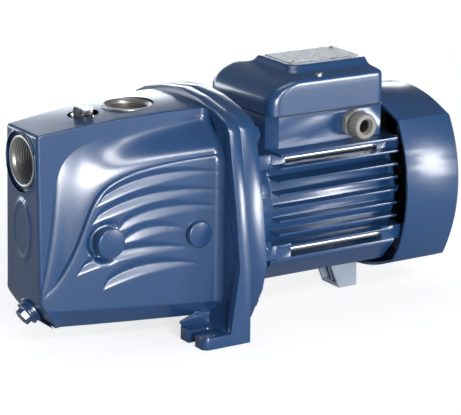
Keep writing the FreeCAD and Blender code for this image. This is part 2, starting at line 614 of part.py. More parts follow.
# ------------------------------------------------------------------ bracket
def motor_bracket():
    plate = prism_x(bracket_outline(), 0, BRACKET_T)
    drum = tube(BRACKET_DRUM_R, BRACKET_DRUM_R - BRACKET_DRUM_WALL, BRACKET_T - 1, BRACKET_LEN)
    wall = tube(BRACKET_DRUM_R - 1, BEARING_R + 1, BRG1_X - 2, BRG1_X + 4)
    hub = tube(BEARING_R + 5, BEARING_R, BRG1_X, BRACKET_LEN - 3 + FIT)
    lip = tube(BEARING_R + 1.5, BEARING_R - 3.5, BRG1_X - 2, BRG1_X)
    spigot = tube(HOUSING_BORE_R - FIT, HOUSING_BORE_R - 3, BRACKET_LEN - 1, BRACKET_LEN + 4)
    rim = tube(BRACKET_DRUM_R, HOUSING_BORE_R - 3.5, BRACKET_LEN - 4, BRACKET_LEN)
    lugs = []
    for y, z in TIE_PLACES:
        lug = block(BRACKET_LEN - 14, BRACKET_LEN, y - TIE_BOSS, y + TIE_BOSS, z - TIE_BOSS, z + TIE_BOSS)
        inward = block(BRACKET_LEN - 14, BRACKET_LEN, min(y, y * 0.72), max(y, y * 0.72), z - 4, z + 4)
        lugs += [lug, inward]
    top_pad = block(BRACKET_T - 1, BRACKET_T + 13, -40, 40, AXIS_H + BRACKET_DRUM_R - 4, FLANGE_TOP_Z - 32)
    whole = fuse([plate, drum, wall, hub, lip, rim, spigot, *lugs, top_pad])
    tools = [
        cyl(SEAL_CHAMBER_R, -1, SEAL_FACE_X + 1),
        cyl(SEAT_R + FIT, SEAL_FACE_X, SEAT_X1 + 0.01),
        cyl(SHAFT_WET_R + RUN + 1.5, SEAT_X1, BRACKET_T + 1),
        tube(BRACKET_DRUM_R - BRACKET_DRUM_WALL, SEAT_R + 12, 9.0, BRACKET_T + 0.01),
    ]
    # drip and cooling windows through the drum
    span = BRG1_X - 4 - (BRACKET_T + 2)
    low = AXIS_H - BRACKET_DRUM_R
    window = block(BRACKET_T + 2, BRACKET_T + 2 + span, -17, 17, low - 8, low + 12)
    tools += turned(window, 3, AXIS0)
    tools += [cyl(BOLT_R + 0.4, -1, BRACKET_T + 1, y, z) for y, z in BOLT_PLACES]
    tools += [cyl(TIE_R + FIT, BRACKET_LEN - 12, BRACKET_LEN + 1, y, z) for y, z in TIE_PLACES]
    for tool in tools:
        whole = whole.cut(tool)
    solids = sorted(whole.Solids, key=lambda s: -s.Volume)
    return solids[0].removeSplitter()


def make_bracket():
    save("motor_bracket", motor_bracket())
    bolts = []
    for y, z in BOLT_PLACES:
        head = hexagon(BOLT_HEX, V(BRACKET_T + 1.6, y, z), EX, BOLT_HEAD_T)
        head = head.fuse(cyl(BOLT_R + 4, BRACKET_T, BRACKET_T + 1.7, y, z))
        bolts.append(head.fuse(cyl(BOLT_R - 0.65, -FLANGE_T, BRACKET_T + 1.7, y, z)))
    save("flange_bolts", *bolts)


# ------------------------------------------------------------------ shaft and rotor
def shaft():
    steps = [
        (STUD_R, NUT_X1 - NUT_T - 2, NUT_X1 + 0.01),
        (SHAFT_WET_R, NUT_X1, BRG1_X - 6),
        (BEARING_BORE_R, BRG1_X - 6.01, BRG1_X + BEARING_W),
        (SHAFT_CORE_R, BRG1_X + BEARING_W, BRG2_X),
        (BEARING_BORE_R, BRG2_X - 0.01, BRG2_X + BEARING_W + 4),
        (SHAFT_FAN_R, BRG2_X + BEARING_W + 3.99, FAN_X0 + FAN_W - 2),
    ]
    whole = fuse([cyl(*s) for s in steps])
    on_shaft, half_key = AXIS_H + SHAFT_WET_R, KEY_W / 2
    key_x0, key_x1 = IMP_FRONT + 4 - FIT, IMP_BACK - 0.1
    keyway = block(key_x0, key_x1, -half_key, half_key, on_shaft - KEY_DOWN, on_shaft + 1)
    flat = block(FAN_X0 - 1, FAN_X0 + FAN_W, -10, 10, AXIS_H + SHAFT_FAN_R - 1.2, AXIS_H + SHAFT_FAN_R + 1)
    return whole.cut(keyway).cut(flat)


def make_rotor():
    save("shaft", shaft())
    bar_r, bar_at = 2.6, ROTOR_R - 4.2
    bars = turned(cyl(bar_r, CORE_X0, CORE_X1, 0, AXIS_H + bar_at), ROTOR_BARS, AXIS0)
    core = tube(ROTOR_R, SHAFT_CORE_R, CORE_X0, CORE_X1)
    for bar in bars:
        core = core.cut(bar)
    save("rotor_core", core)
    ends = [tube(ROTOR_R - 0.6, ROTOR_R - 9, x, x + 7) for x in (CORE_X0 - 7, CORE_X1)]
    save("rotor_cage", fuse([*ends, *bars]))
    slinger = tube(SHAFT_WET_R + 2, SHAFT_WET_R, BRG1_X - 11, BRG1_X - 7).fuse(
        tube(SHAFT_WET_R + 7, SHAFT_WET_R + 1, BRG1_X - 9.5, BRG1_X - 8))
    save("water_slinger", slinger.removeSplitter())


# ------------------------------------------------------------------ stator and housing
def make_stator():
    slot_in, slot_out = ROTOR_R + AIR_GAP + 2.2, ROTOR_R + AIR_GAP + 14.0
    slot = block(CORE_X0 - 1, CORE_X1 + 1, -2.4, 2.4, AXIS_H + slot_in, AXIS_H + slot_out)
    core = tube(CORE_R, ROTOR_R + AIR_GAP, CORE_X0, CORE_X1)
    for copy in turned(slot, STATOR_SLOTS, AXIS0):
        core = core.cut(copy)
    save("stator_core", core)
    coil_side = block(CORE_X0 - 3, CORE_X1 + 3, -2.3, 2.3, AXIS_H + slot_in + 0.1, AXIS_H + slot_out - 0.1)
    sides = turned(coil_side, STATOR_SLOTS, AXIS0)
    heads = []
    for x in (CORE_X0 - 2.5 - END_TURN / 2, CORE_X1 + 2.5 + END_TURN / 2):
        shell = tube(slot_out + 1, slot_in - 1.2, x - END_TURN / 2, x + END_TURN / 2)
        edges = [e for e in shell.Edges if e.Closed or len(e.Vertexes) == 1]
        heads.append(shell.makeFillet(min(4.5, (slot_out - slot_in) / 3), edges))
    save("stator_winding", fuse([*heads, *sides]))


def tie_lug(x, length, y, z, inward):
    """Square boss round a tie rod that reaches inwards to the barrel."""
    near = math.copysign(abs(y) - inward, y)
    y0, y1 = min(y, near) - TIE_BOSS, max(y, near) + TIE_BOSS
    return block(x, x + length, y0, y1, z - TIE_BOSS, z + TIE_BOSS)


def stator_housing():
    r_out = HOUSING_BORE_R + HOUSING_WALL
    x0, x1 = HOUSE_X0, HOUSE_X1
    parts = [cyl(r_out, x0, x1)]
    fin0 = x0 + 3
    for k in range(SIDE_FINS):
        z = SEAT_PLATE_Z - FIN_T - FIN_PITCH * (k + 1)
        parts += mirrored(block(fin0, x1, r_out * 0.3, FIN_HALF_W, z, z + FIN_T))
    # plate under the terminal box, its web, and the closed lower pocket with the slanted skirt
    parts.append(block(fin0, x1 - 2, -FIN_HALF_W, FIN_HALF_W, SEAT_PLATE_Z - 3, SEAT_PLATE_Z))
    parts.append(block(BOX_X0 + 6, BOX_X1 - 6, -34, 34, AXIS_H + 40, SEAT_PLATE_Z - 1))
    skirt = prism_x([(FIN_HALF_W, SKIRT_Z), (FIN_HALF_W, SKIRT_Z - 3), (SKIRT_HALF_W + 1, SKIRT_LOW_Z),
                     (SKIRT_HALF_W - 2, SKIRT_LOW_Z), (FIN_HALF_W - 5, SKIRT_Z - 2.5), (36, SKIRT_Z - 2.5),
                     (36, SKIRT_Z)], x0 - 6, x1 - 2)
    under_lug = AXIS_H + TIE_LOW[1] - TIE_BOSS - RUN
    skirt = skirt.cut(block(x0 - 8, x0, 0, FIN_HALF_W + 1, under_lug, SKIRT_Z + 1))
    parts += mirrored(skirt.cut(cyl(BRACKET_DRUM_R + RUN, x0 - 8, x0)))
    for k in range(4):
        y = 12.0 + 12.0 * k
        parts += mirrored(block(fin0, x1 - 2, y - FIN_T / 2, y + FIN_T / 2, SKIRT_LOW_Z, AXIS_H - 20))
    foot_w = MOTOR_FOOT_HALF_W
    parts.append(block(MOTOR_FOOT_X - 26, MOTOR_FOOT_X + 10, -foot_w, foot_w, MOTOR_FOOT_TOP, AXIS_H - 40))
    for y, z in TIE_PLACES:
        parts += [tie_lug(x, 16, y, z, 12) for x in (x0, x1 - 16)]
    whole = fuse(parts).cut(cyl(HOUSING_BORE_R, x0 - 10, x1 + 10))
    whole = whole.cut(Part.makeCylinder(CABLE_HOLE_R, 80, V(WIRE_X, 0, AXIS_H + 30), EZ))
    for y, z in TIE_PLACES:
        whole = whole.cut(cyl(TIE_R + FIT, x0 - 1, x1 + 1, y, z))
    for sx in FOOT_SCREW_X:
        whole = whole.cut(Part.makeCylinder(2.5, 12, V(sx, 0, MOTOR_FOOT_TOP - 1), EZ))
    solids = sorted(whole.Solids, key=lambda s: -s.Volume)
    return solids[0].removeSplitter()


def on_cover_sides(shape):
    """Copies of a shape made on the +Y side, at each side that carries a fan cover screw."""
    copies = []
    for angle in COVER_SCREW_SIDES:
        copy = shape.copy()
        copy.rotate(AXIS0, EX, angle)
        copies.append(copy)
    return copies


def rear_shield():
    x0 = HOUSE_X1
    plate = tube(HOUSING_BORE_R + HOUSING_WALL, BEARING_R + 2, x0, x0 + 5)
    spigot = tube(HOUSING_BORE_R - FIT, HOUSING_BORE_R - 3, x0 - 4, x0 + 1)
    end = BRG2_X + BEARING_W + 3.0
    hub = tube(BEARING_R + 5, BEARING_R, x0, end)
    lip = tube(BEARING_R + 1, BEARING_BORE_R + 2.5, end - 2.5, end)
    lugs = [tie_lug(x0, COVER_SCREW_X, y, z, 16) for y, z in TIE_PLACES]
    pad_end = COVER_HALF - COVER_WALL - RUN
    pad = block(x0, x0 + COVER_SCREW_X + 4, HOUSING_BORE_R, pad_end, AXIS_H - 4, AXIS_H + 4)
    rib = block(x0 + 4, end - 3, -2, 2, AXIS_H + BEARING_R + 3, AXIS_H + HOUSING_BORE_R - 4)
    whole = fuse([plate, spigot, hub, lip, *lugs, *turned(rib, 6, AXIS0, EX, 30), *on_cover_sides(pad)])
    for y, z in TIE_PLACES:
        whole = whole.cut(cyl(TIE_R + 0.3, x0 - 1, x0 + 12, y, z))
    hole = Part.makeCylinder(COVER_SCREW_R + FIT, 14, V(x0 + COVER_SCREW_X, COVER_HALF - 14, AXIS_H), EY)
    for copy in on_cover_sides(hole):
        whole = whole.cut(copy)
    solids = sorted(whole.Solids, key=lambda s: -s.Volume)
    return solids[0].removeSplitter()


def cover_outline(inset, x):
    """Rounded square with bulged sides and cut corners, as a wire in the plane at x."""
    half = COVER_HALF - inset
    big = COVER_BULGE_R - inset
    cy, cz = COVER_CORNER_Y - inset * 0.5, COVER_CORNER_Z - inset * 0.5

    def edge(v):
        return half - big + math.sqrt(big ** 2 - v ** 2)

    def at(y, z):
        return V(x, y, AXIS_H + z)

    edges = []
    quarter = [((cy, edge(cy)), (-cy, edge(cy)), (0, half)),
               ((-edge(cz), cz), (-edge(cz), -cz), (-half, 0)),
               ((-cy, -edge(cy)), (cy, -edge(cy)), (0, -half)),
               ((edge(cz), -cz), (edge(cz), cz), (half, 0))]
    for k, (start, end, mid) in enumerate(quarter):
        edges.append(Part.Arc(at(*start), at(*mid), at(*end)).toShape())
        following = quarter[(k + 1) % 4][0]
        edges.append(Part.makeLine(at(*end), at(*following)))
    return Part.Wire(edges)


def fan_cover():
    outer = Part.Face(cover_outline(0, COVER_X0)).extrude(EX * (COVER_LEN - 5))
    # the rear edge is bevelled by a short loft down to the grille face
    bevel = Part.makeLoft([cover_outline(0, COVER_X1 - 5), cover_outline(5, COVER_X1)], True, True)
    shell = outer.fuse(bevel)
    hollow = Part.Face(cover_outline(COVER_WALL, COVER_X0 - 1)).extrude(EX * (COVER_LEN - COVER_WALL - 4))
    taper = Part.makeLoft([cover_outline(COVER_WALL, COVER_X1 - 5 - COVER_WALL / 2),
                           cover_outline(4 + COVER_WALL, COVER_X1 - COVER_WALL)], True, True)
    shell = shell.cut(hollow).cut(taper)
    for r0, r1 in GRILLE_RINGS:
        ring_cut = tube(r1, r0, COVER_X1 - COVER_WALL - 1, COVER_X1 + 1)
        spoke = block(COVER_X1 - 6, COVER_X1 + 2, -2.5, 2.5, AXIS_H - 80, AXIS_H + 80)
        for copy in turned(spoke, 3, AXIS0, EX, 30):
            ring_cut = ring_cut.cut(copy)
        shell = shell.cut(ring_cut)
    hole_at = V(HOUSE_X1 + COVER_SCREW_X, COVER_HALF - 10, AXIS_H)
    hole = Part.makeCylinder(COVER_SCREW_R + RUN, 20, hole_at, EY)
    for copy in on_cover_sides(hole):
        shell = shell.cut(copy)
    return shell.removeSplitter()


def fan():
    x0, x1 = FAN_X0, FAN_X0 + FAN_W
    hub = tube(FAN_HUB_R, SHAFT_FAN_R + FIT, x0, x1 - 4)
    flat = block(x0, x1 - 4, -5, 5, AXIS_H + SHAFT_FAN_R - 1.1, AXIS_H + SHAFT_FAN_R + 2)
    disc = tube(FAN_R * 0.72, 12, x0 + 2, x0 + 4.5)
    blade = block(x0 + 2, x1, -FAN_BLADE_T / 2, FAN_BLADE_T / 2, AXIS_H + 12, AXIS_H + FAN_R)
    limit = cone(FAN_R * 0.8, FAN_R, x0 + 2, x1)
    blades = [b.common(limit) for b in turned(blade, FAN_BLADES, AXIS0)]
    return fuse([hub.fuse(flat), disc, *blades])


def make_motor():
    save("stator_housing", stator_housing())
    save("rear_shield", rear_shield())
    rods = []
    for y, z in TIE_PLACES:
        head = hexagon(8.0, V(HOUSE_X1 + 8, y, z), EX, 4.0)
        rods.append(head.fuse(cyl(TIE_R, BRACKET_LEN - 11, HOUSE_X1 + 8.1, y, z)))
    save("tie_rods", *rods)
    x = BRG2_X + BEARING_W
    save("bearing_wave_spring", tube(BEARING_R - 0.4, BEARING_R - 3.6, x + 0.02, x + 0.45))
    save("fan", fan())
    fan_x1, half = FAN_X0 + FAN_W, FAN_BLADE_T / 2 + 0.1
    clip = tube(FAN_HUB_R + 1.4, FAN_HUB_R + FIT, fan_x1 - 10, fan_x1 - 5.5)
    split = block(FAN_X0, fan_x1, -FAN_BLADE_T, FAN_BLADE_T, AXIS_H, AXIS_H + 30)
    past_blade = block(FAN_X0, fan_x1, -half, half, AXIS_H + 5, AXIS_H + 30)
    save("fan_clip", clip.cut(split).cut(fuse(turned(past_blade, FAN_BLADES, AXIS0))))
    save("fan_cover", fan_cover())
    face = V(HOUSE_X1 + COVER_SCREW_X, COVER_HALF + FIT, AXIS_H)
    screw = Part.makeCylinder(4.0, 2.0, face, EY).fuse(Part.makeCylinder(COVER_SCREW_R, 12, face, -EY))
    save("fan_cover_screws", *on_cover_sides(screw))


# ------------------------------------------------------------------ terminal box
def box_outline(inset):
    """Plan of the terminal box with cut corners, as X (from the joint plane) and Y."""
    x0, x1, w, c = BOX_X0 + inset, BOX_X1 - inset, BOX_HALF_W - inset, BOX_CORNER - inset * 0.5
    rear = BOX_REAR_CORNER
    near = [(x0, -w + c), (x0 + c, -w), (x1 - rear, -w), (x1, -w + rear)]
    return near + [(x, -y) for x, y in reversed(near)]


def plan_prism(inset, z0, z1):
    return Part.Face(wire([(x, y, z0) for x, y in box_outline(inset)])).extrude(EZ * (z1 - z0))


def terminal_box_base():
    """Tray whose floor rises over the motor barrel."""
    z0, z1 = SEAT_PLATE_Z, BOX_SEAM_Z - GASKET_T
    barrel_r = HOUSING_BORE_R + HOUSING_WALL
    shell = plan_prism(0, z0, z1).cut(plan_prism(BOX_WALL, z0 + BOX_WALL, z1 + 1))
    saddle = cyl(barrel_r + BOX_WALL, BOX_X0, BOX_X1).common(plan_prism(0, z0, z1))
    pillar = Part.makeCylinder(LID_PILLAR_R, z1 - z0 - 1, V(LID_SCREW_X, LID_PILLAR_Y, z0 + 0.5), EZ)
    shell = fuse([shell, saddle, *mirrored(pillar)]).cut(cyl(barrel_r + FIT, BOX_X0 - 1, BOX_X1 + 1))
    for hole in mirrored(Part.makeCylinder(1.7, 20, V(LID_SCREW_X, LID_PILLAR_Y, z1 - 14), EZ)):
        shell = shell.cut(hole)
    shell = shell.cut(Part.makeCylinder(CABLE_HOLE_R, 20, V(WIRE_X, 0, z0 - 5), EZ))
    return shell.cut(Part.makeCylinder(GLAND_THREAD_R + FIT, 20, V(GLAND_X, -BOX_HALF_W - 5, GLAND_Z), EY))


def lid_profile(inset):
    """Side view of the lid: a square back, a flat top and a long round at the front."""
    x0, x1 = BOX_X0 + inset, BOX_X1 - inset
    top, drop = LID_SIDE_Z - inset, LID_SIDE_Z - LID_FRONT_Z
    angles = [math.pi / 2 * k / 8 for k in range(9)]
    arc = [(x0 + LID_FRONT_R * (1 - math.cos(a)), top - drop + drop * math.sin(a)) for a in angles]
    return [(x0, BOX_SEAM_Z), *arc, (x1, top), (x1, BOX_SEAM_Z)]


def lid_section(inset):
    """End view of the lid with its bevelled long edges, drawn out along X."""
    w, low, top = BOX_HALF_W - inset, BOX_SEAM_Z - 2, LID_SIDE_Z - inset
    near = [(-w, low), (-w, top - LID_BEVEL_H), (-w + LID_BEVEL_W, top)]
    return prism_x(near + [(-y, z) for y, z in reversed(near)], BOX_X0 - 1, BOX_X1 + 1)


def terminal_box_lid():
    outer = prism_y(lid_profile(0), -BOX_HALF_W, BOX_HALF_W).common(lid_section(0))
    outer = outer.common(plan_prism(0, BOX_SEAM_Z, LID_TOP_Z + 5))
    inner = prism_y(lid_profile(BOX_WALL), -BOX_HALF_W, BOX_HALF_W).common(lid_section(BOX_WALL))
    inner = inner.common(plan_prism(BOX_WALL, BOX_SEAM_Z - 1, LID_SIDE_Z - BOX_WALL))
    # raised panel that carries the rating plate
    x0, x1, w = PLATE_X0 - 11, PLATE_X1 + 3, PLATE_HALF_W + 5
    low = wire([(x0 - 6, -w - 8, LID_SIDE_Z - 1), (x1 + 1.5, -w - 8, LID_SIDE_Z - 1),
                (x1 + 1.5, w + 8, LID_SIDE_Z - 1), (x0 - 6, w + 8, LID_SIDE_Z - 1)])
    high = wire([(x0, -w, LID_TOP_Z), (x1, -w, LID_TOP_Z), (x1, w, LID_TOP_Z), (x0, w, LID_TOP_Z)])
    panel = Part.makeLoft([low, high], True, True)
    lid = outer.cut(inner).fuse(panel)
    height = LID_SIDE_Z - BOX_SEAM_Z - BOX_WALL
    pillar = Part.makeCylinder(LID_PILLAR_R, height, V(LID_SCREW_X, LID_PILLAR_Y, BOX_SEAM_Z), EZ)
    lid = fuse([lid, *mirrored(pillar)])
    for r, z in ((2.0, BOX_SEAM_Z - 1), (LID_HEAD_R + 0.2, LID_SIDE_Z - 1.2)):
        for hole in mirrored(Part.makeCylinder(r, 60, V(LID_SCREW_X, LID_PILLAR_Y, z), EZ)):
            lid = lid.cut(hole)
    return lid.removeSplitter()


def lid_screw():
    """Slotted pan head screw on the +Y side, from the lid down into the base."""
    x, y, z = LID_SCREW_X, LID_PILLAR_Y, LID_SIDE_Z
    head = Part.makeCylinder(LID_HEAD_R, 2.4, V(x, y, z - 1.2), EZ)
    head = head.cut(Part.makeBox(9, 0.9, 2, V(x - 4.5, y - 0.45, z + 0.2)))
    return head.fuse(Part.makeCylinder(1.6, z - BOX_SEAM_Z + 9, V(x, y, BOX_SEAM_Z - 10), EZ))


def make_terminal_board():
    board = rounded(block(76, 126, -23, 11, BOARD_Z + FIT, BOARD_Z + BOARD_T), 3.0, EZ)
    studs = []
    for x in (84, 101, 118):
        for y in (-15, 3):
            board = board.cut(Part.makeCylinder(2.1, 20, V(x, y, BOARD_Z - 1), EZ))
            stud = Part.makeCylinder(2.0, 15, V(x, y, BOARD_Z + 0.1), EZ)
            studs.append(stud.fuse(hexagon(7.0, V(x, y, BOARD_Z + BOARD_T + FIT), EZ, 3.2)))
    save("terminal_board", board)
    save("terminal_studs", *studs)


def make_capacitor():
    """Run capacitor beside the board, held in a saddle that stands on the floor of the box."""
    r, y = CAPACITOR_R, CAPACITOR_Y
    floor_r = HOUSING_BORE_R + HOUSING_WALL + BOX_WALL
    z = AXIS_H + math.sqrt((floor_r + r + 1) ** 2 - y ** 2)
    x0, x1 = CAPACITOR_X
    can = Part.makeCylinder(r, x1 - x0, V(x0, y, z), EX)
    can = can.makeFillet(2.0, [e for e in can.Edges if e.Curve.TypeId == "Part::GeomCircle"])
    tabs = [Part.makeBox(8, 0.8, 6, V(x0 - 7.8, y + dy, z - 3)) for dy in (-5, 5)]
    save("capacitor", fuse([can, *tabs]))
    saddle = block(*SADDLE_X, y - r, y + r, SEAT_PLATE_Z + BOX_WALL + FIT, z - r / 3)
    saddle = saddle.cut(cyl(r + FIT, x0, x1, y, z)).cut(cyl(floor_r + FIT, x0, x1))
    save("capacitor_saddle", *sorted(saddle.Solids, key=lambda s: -s.Volume)[:1])


def make_terminal_box():
    save("terminal_box_base", terminal_box_base())
    save("terminal_box_lid", terminal_box_lid())
    gasket = plan_prism(0.4, BOX_SEAM_Z - GASKET_T, BOX_SEAM_Z)
    save("terminal_box_gasket", gasket.cut(plan_prism(BOX_WALL, BOX_SEAM_Z - 2, BOX_SEAM_Z + 1)))
    save("lid_screws", *mirrored(lid_screw()))
    make_terminal_board()
    make_capacitor()
    w, z = PLATE_HALF_W, LID_TOP_Z + PLATE_T
    save("rating_plate", rounded(block(PLATE_X0, PLATE_X1, -w, w, LID_TOP_Z, z), 1.5, EZ))
    rivets = []
    for x, y in ((PLATE_X0 + 4, -w + 4), (PLATE_X1 - 4, w - 4)):
        dome = Part.makeSphere(2.2, V(x, y, z - 0.8))
        rivets.append(dome.common(block(x - 5, x + 5, y - 5, y + 5, z, z + 9)))
    save("rating_plate_rivets", *rivets)


def make_gland():
    """Cable gland in the near wall: body, locknut, squeeze seal, thrust ring and clamping nut."""
    wall_y = -BOX_HALF_W

    def disc(r, y0, y1):
        return Part.makeCylinder(r, y0 - y1, V(GLAND_X, y0, GLAND_Z), -EY)

    bore = 7.6
    base = hexagon(GLAND_HEX, V(GLAND_X, wall_y, GLAND_Z), -EY, 6.0, 30)
    body = fuse([base, disc(GLAND_THREAD_R, wall_y + BOX_WALL + 7, wall_y),
                 disc(GLAND_THREAD_R + 0.8, wall_y - 5.9, wall_y - 16)])
    body = body.cut(disc(bore, wall_y + 20, wall_y - 20))
    save("gland_body", body)
    lock = hexagon(22.0, V(GLAND_X, wall_y + BOX_WALL + 4.0, GLAND_Z), -EY, 4.0 - FIT)
    save("gland_locknut", lock.cut(disc(GLAND_THREAD_R + FIT, wall_y + 20, wall_y)))
    grommet = disc(bore - FIT, wall_y - 5, wall_y - 16)
    save("gland_seal", grommet.cut(disc(GLAND_HOLE_R, wall_y, wall_y - 20)))
    ring_y = wall_y - 16 - 0.6
    washer = disc(bore + 1.8, ring_y, ring_y - 1.2)
    save("gland_thrust_ring", washer.cut(disc(GLAND_HOLE_R + 0.6, ring_y + 1, ring_y - 3)))
    nut_start, nut_end = wall_y - 8.4, ring_y - 1.2 - PLUG_FREE - 4.2
    nut = hexagon(GLAND_HEX, V(GLAND_X, nut_start, GLAND_Z), -EY, nut_start - nut_end, 30)
    rim = disc(GLAND_HEX / 2 + 0.2, nut_start, nut_end)
    nut = nut.common(rim.fuse(disc(GLAND_HEX, nut_start, nut_end + 5)))
    nut = nut.cut(disc(GLAND_THREAD_R + 0.8 + PLUG_FREE, nut_start + 1, ring_y - 1.2 - PLUG_FREE))
    nut = nut.cut(disc(GLAND_HOLE_R + 1.2, nut_start + 1, nut_end - 1))
    save("gland_nut", nut)


def make_motor_foot():
    """Small hollow support foot under the fan end of the motor."""
    top, w = MOTOR_FOOT_TOP, MOTOR_FOOT_HALF_W
    x1 = MOTOR_FOOT_X + MOTOR_FOOT_LEN / 2
    x0 = x1 - MOTOR_FOOT_LEN
    side = [(x0, 0), (x1, 0), (x1 - 1, top), (x0 - 14, top)]
    whole = prism_y(side, -w, w)
    hollow = prism_y([(x0 - 20, 4), (x1 - 3, 4), (x1 - 4, top - 5), (x0 - 20, top - 5)], -w + 3, w - 3)
    rib = prism_y([(x0 + 2, 3), (x1 - 1, 3), (x1 - 2, top - 4), (x0 - 8, top - 4)], -1.5, 1.5)
    foot_piece = fuse([whole.cut(hollow), rib])
    for sx in FOOT_SCREW_X:
        foot_piece = foot_piece.cut(Part.makeCylinder(2.7, 8, V(sx, 0, top - 6), EZ))
        foot_piece = foot_piece.cut(Part.makeCylinder(4.6, top - 9, V(sx, 0, 4), EZ))
    save("motor_foot", foot_piece)
    screws = []
    for sx in FOOT_SCREW_X:
        head = Part.makeCylinder(4.2, 3.5, V(sx, 0, top - 8.5), EZ)
        screws.append(head.fuse(Part.makeCylinder(2.4, 14, V(sx, 0, top - 5.1), EZ)))
    save("motor_foot_screws", *screws)


make_pump_end()
make_hydraulics()
make_seal()
make_bearing("front", BRG1_X)
make_bearing("rear", BRG2_X)
make_bracket()
make_rotor()
make_stator()
make_motor()
make_terminal_box()
make_gland()
make_motor_foot()

box = Part.makeCompound(list(nodes.values())).optimalBoundingBox(False, False)
for name, whole in nodes.items():
    whole.translate(V(-(box.XMin + box.XMax) / 2, 0, 0))
    whole.exportStep(os.path.join("parts", name + ".step"))
print(len(nodes), "nodes written")
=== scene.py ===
import math

import bmesh
import bpy
import numpy as np
from mathutils import Matrix, Vector


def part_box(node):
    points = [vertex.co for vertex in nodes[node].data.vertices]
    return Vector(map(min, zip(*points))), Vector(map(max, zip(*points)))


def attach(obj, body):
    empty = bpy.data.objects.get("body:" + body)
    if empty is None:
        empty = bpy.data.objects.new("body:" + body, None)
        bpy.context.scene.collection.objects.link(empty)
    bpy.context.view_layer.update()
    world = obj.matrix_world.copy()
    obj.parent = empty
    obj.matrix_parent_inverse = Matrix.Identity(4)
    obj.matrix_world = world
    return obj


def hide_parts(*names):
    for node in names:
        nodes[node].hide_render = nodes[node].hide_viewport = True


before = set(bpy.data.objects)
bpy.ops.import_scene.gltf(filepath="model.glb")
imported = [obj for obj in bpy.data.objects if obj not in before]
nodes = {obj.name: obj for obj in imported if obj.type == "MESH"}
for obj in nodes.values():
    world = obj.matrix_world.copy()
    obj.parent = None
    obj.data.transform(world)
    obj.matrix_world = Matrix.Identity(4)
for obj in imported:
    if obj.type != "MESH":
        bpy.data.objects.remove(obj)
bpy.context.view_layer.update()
MM = 0.001

# ----------------------------------------------------------------------------------------------------------
# Viewpoint: a long lens a little above the pump, from the suction end and the cable gland's side.  Lengths
# are worked out in millimetres, with x counted from the joint plane of casing and bracket, and made metres
# last.
joint_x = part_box("motor_bracket")[0].x / MM
shaft_z = (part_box("shaft")[0].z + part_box("shaft")[1].z) / 2 / MM


def at(x, y, z):
    """Point given in millimetres from the joint plane, the middle and the floor, as metres in the frame."""
    return Vector(((joint_x + x) * MM, y * MM, z * MM))


VIEW_AIM, VIEW_DISTANCE = (44.3, 0, 92.7), 2.179     # millimetres, and metres back from it
LENS_LENGTH, SENSOR_WIDTH, VIEW_END = 184.7, 36.0, 50.0
view_turn, view_lift, view_roll = math.radians(-33.08), math.radians(15.89), math.radians(0.80)
back = Vector((math.sin(view_turn) * math.cos(view_lift), -math.cos(view_turn) * math.cos(view_lift),
               math.sin(view_lift)))
right = (-back).cross(Vector((0, 0, 1))).normalized()
up = right.cross(-back)
rolled_right = right * math.cos(view_roll) + up * math.sin(view_roll)
rolled_up = up * math.cos(view_roll) - right * math.sin(view_roll)
lens = bpy.data.cameras.new("camera")
lens.lens, lens.sensor_width, lens.clip_end = LENS_LENGTH, SENSOR_WIDTH, VIEW_END
camera = bpy.data.objects.new("camera", lens)
camera.matrix_world = Matrix.Translation(at(*VIEW_AIM) + back * VIEW_DISTANCE) @ Matrix(
    (rolled_right, rolled_up, back)).transposed().to_4x4()
bpy.context.scene.collection.objects.link(camera)
bpy.context.scene.camera = camera

# ----------------------------------------------------------------------------------------------------------
# Studio: a white paper sweep on which the pump stands, and soft boxes at the left, high left, right and
# above, with two cool panels behind that put the long pale reflections on the top of the casing and on the
# lid.
COOL_WHITE = (0.84, 0.91, 1.0)


def soft_box(name, place, aim, size, power, tint=(1, 1, 1)):
    """Rectangular area lamp at a place in metres that looks at another."""
    lamp = bpy.data.lights.new(name, "AREA")
    lamp.shape, lamp.size, lamp.size_y = "RECTANGLE", size[0], size[1]
    lamp.energy, lamp.color = power, tint
    obj = bpy.data.objects.new(name, lamp)
    obj.location = place
    obj.rotation_euler = (Vector(aim) - Vector(place)).to_track_quat("-Z", "Y").to_euler()
    bpy.context.scene.collection.objects.link(obj)
    return obj


soft_box("left_box", (-0.62, -2.05, 0.42), (-0.10, 0, 0.10), (0.60, 0.78), 38)
soft_box("high_left_box", (-0.05, -1.80, 1.30), (-0.08, 0, 0.10), (0.55, 0.42), 13)
soft_box("right_strip", (1.20, -1.72, 0.28), (0.12, 0, 0.12), (0.50, 0.54), 17)
soft_box("back_panel", (0.25, 1.95, 0.52), (0.0, 0, 0.15), (2.8, 0.60), 23, COOL_WHITE)
soft_box("rear_left_panel", (-1.35, 1.55, 0.20), (0, 0, 0.10), (0.90, 0.55), 13, COOL_WHITE)
soft_box("top_box", (0.0, 0.3, 1.9), (0, 0, 0.1), (0.9, 0.7), 5)

world = bpy.data.worlds.new("studio")
bpy.context.scene.world = world
world.use_nodes = True
sky = world.node_tree.nodes["Background"]
sky.inputs["Color"].default_value = (0.85, 0.92, 1.0, 1)
sky.inputs["Strength"].default_value = 0.14
bpy.context.scene.view_settings.view_transform = "Standard"

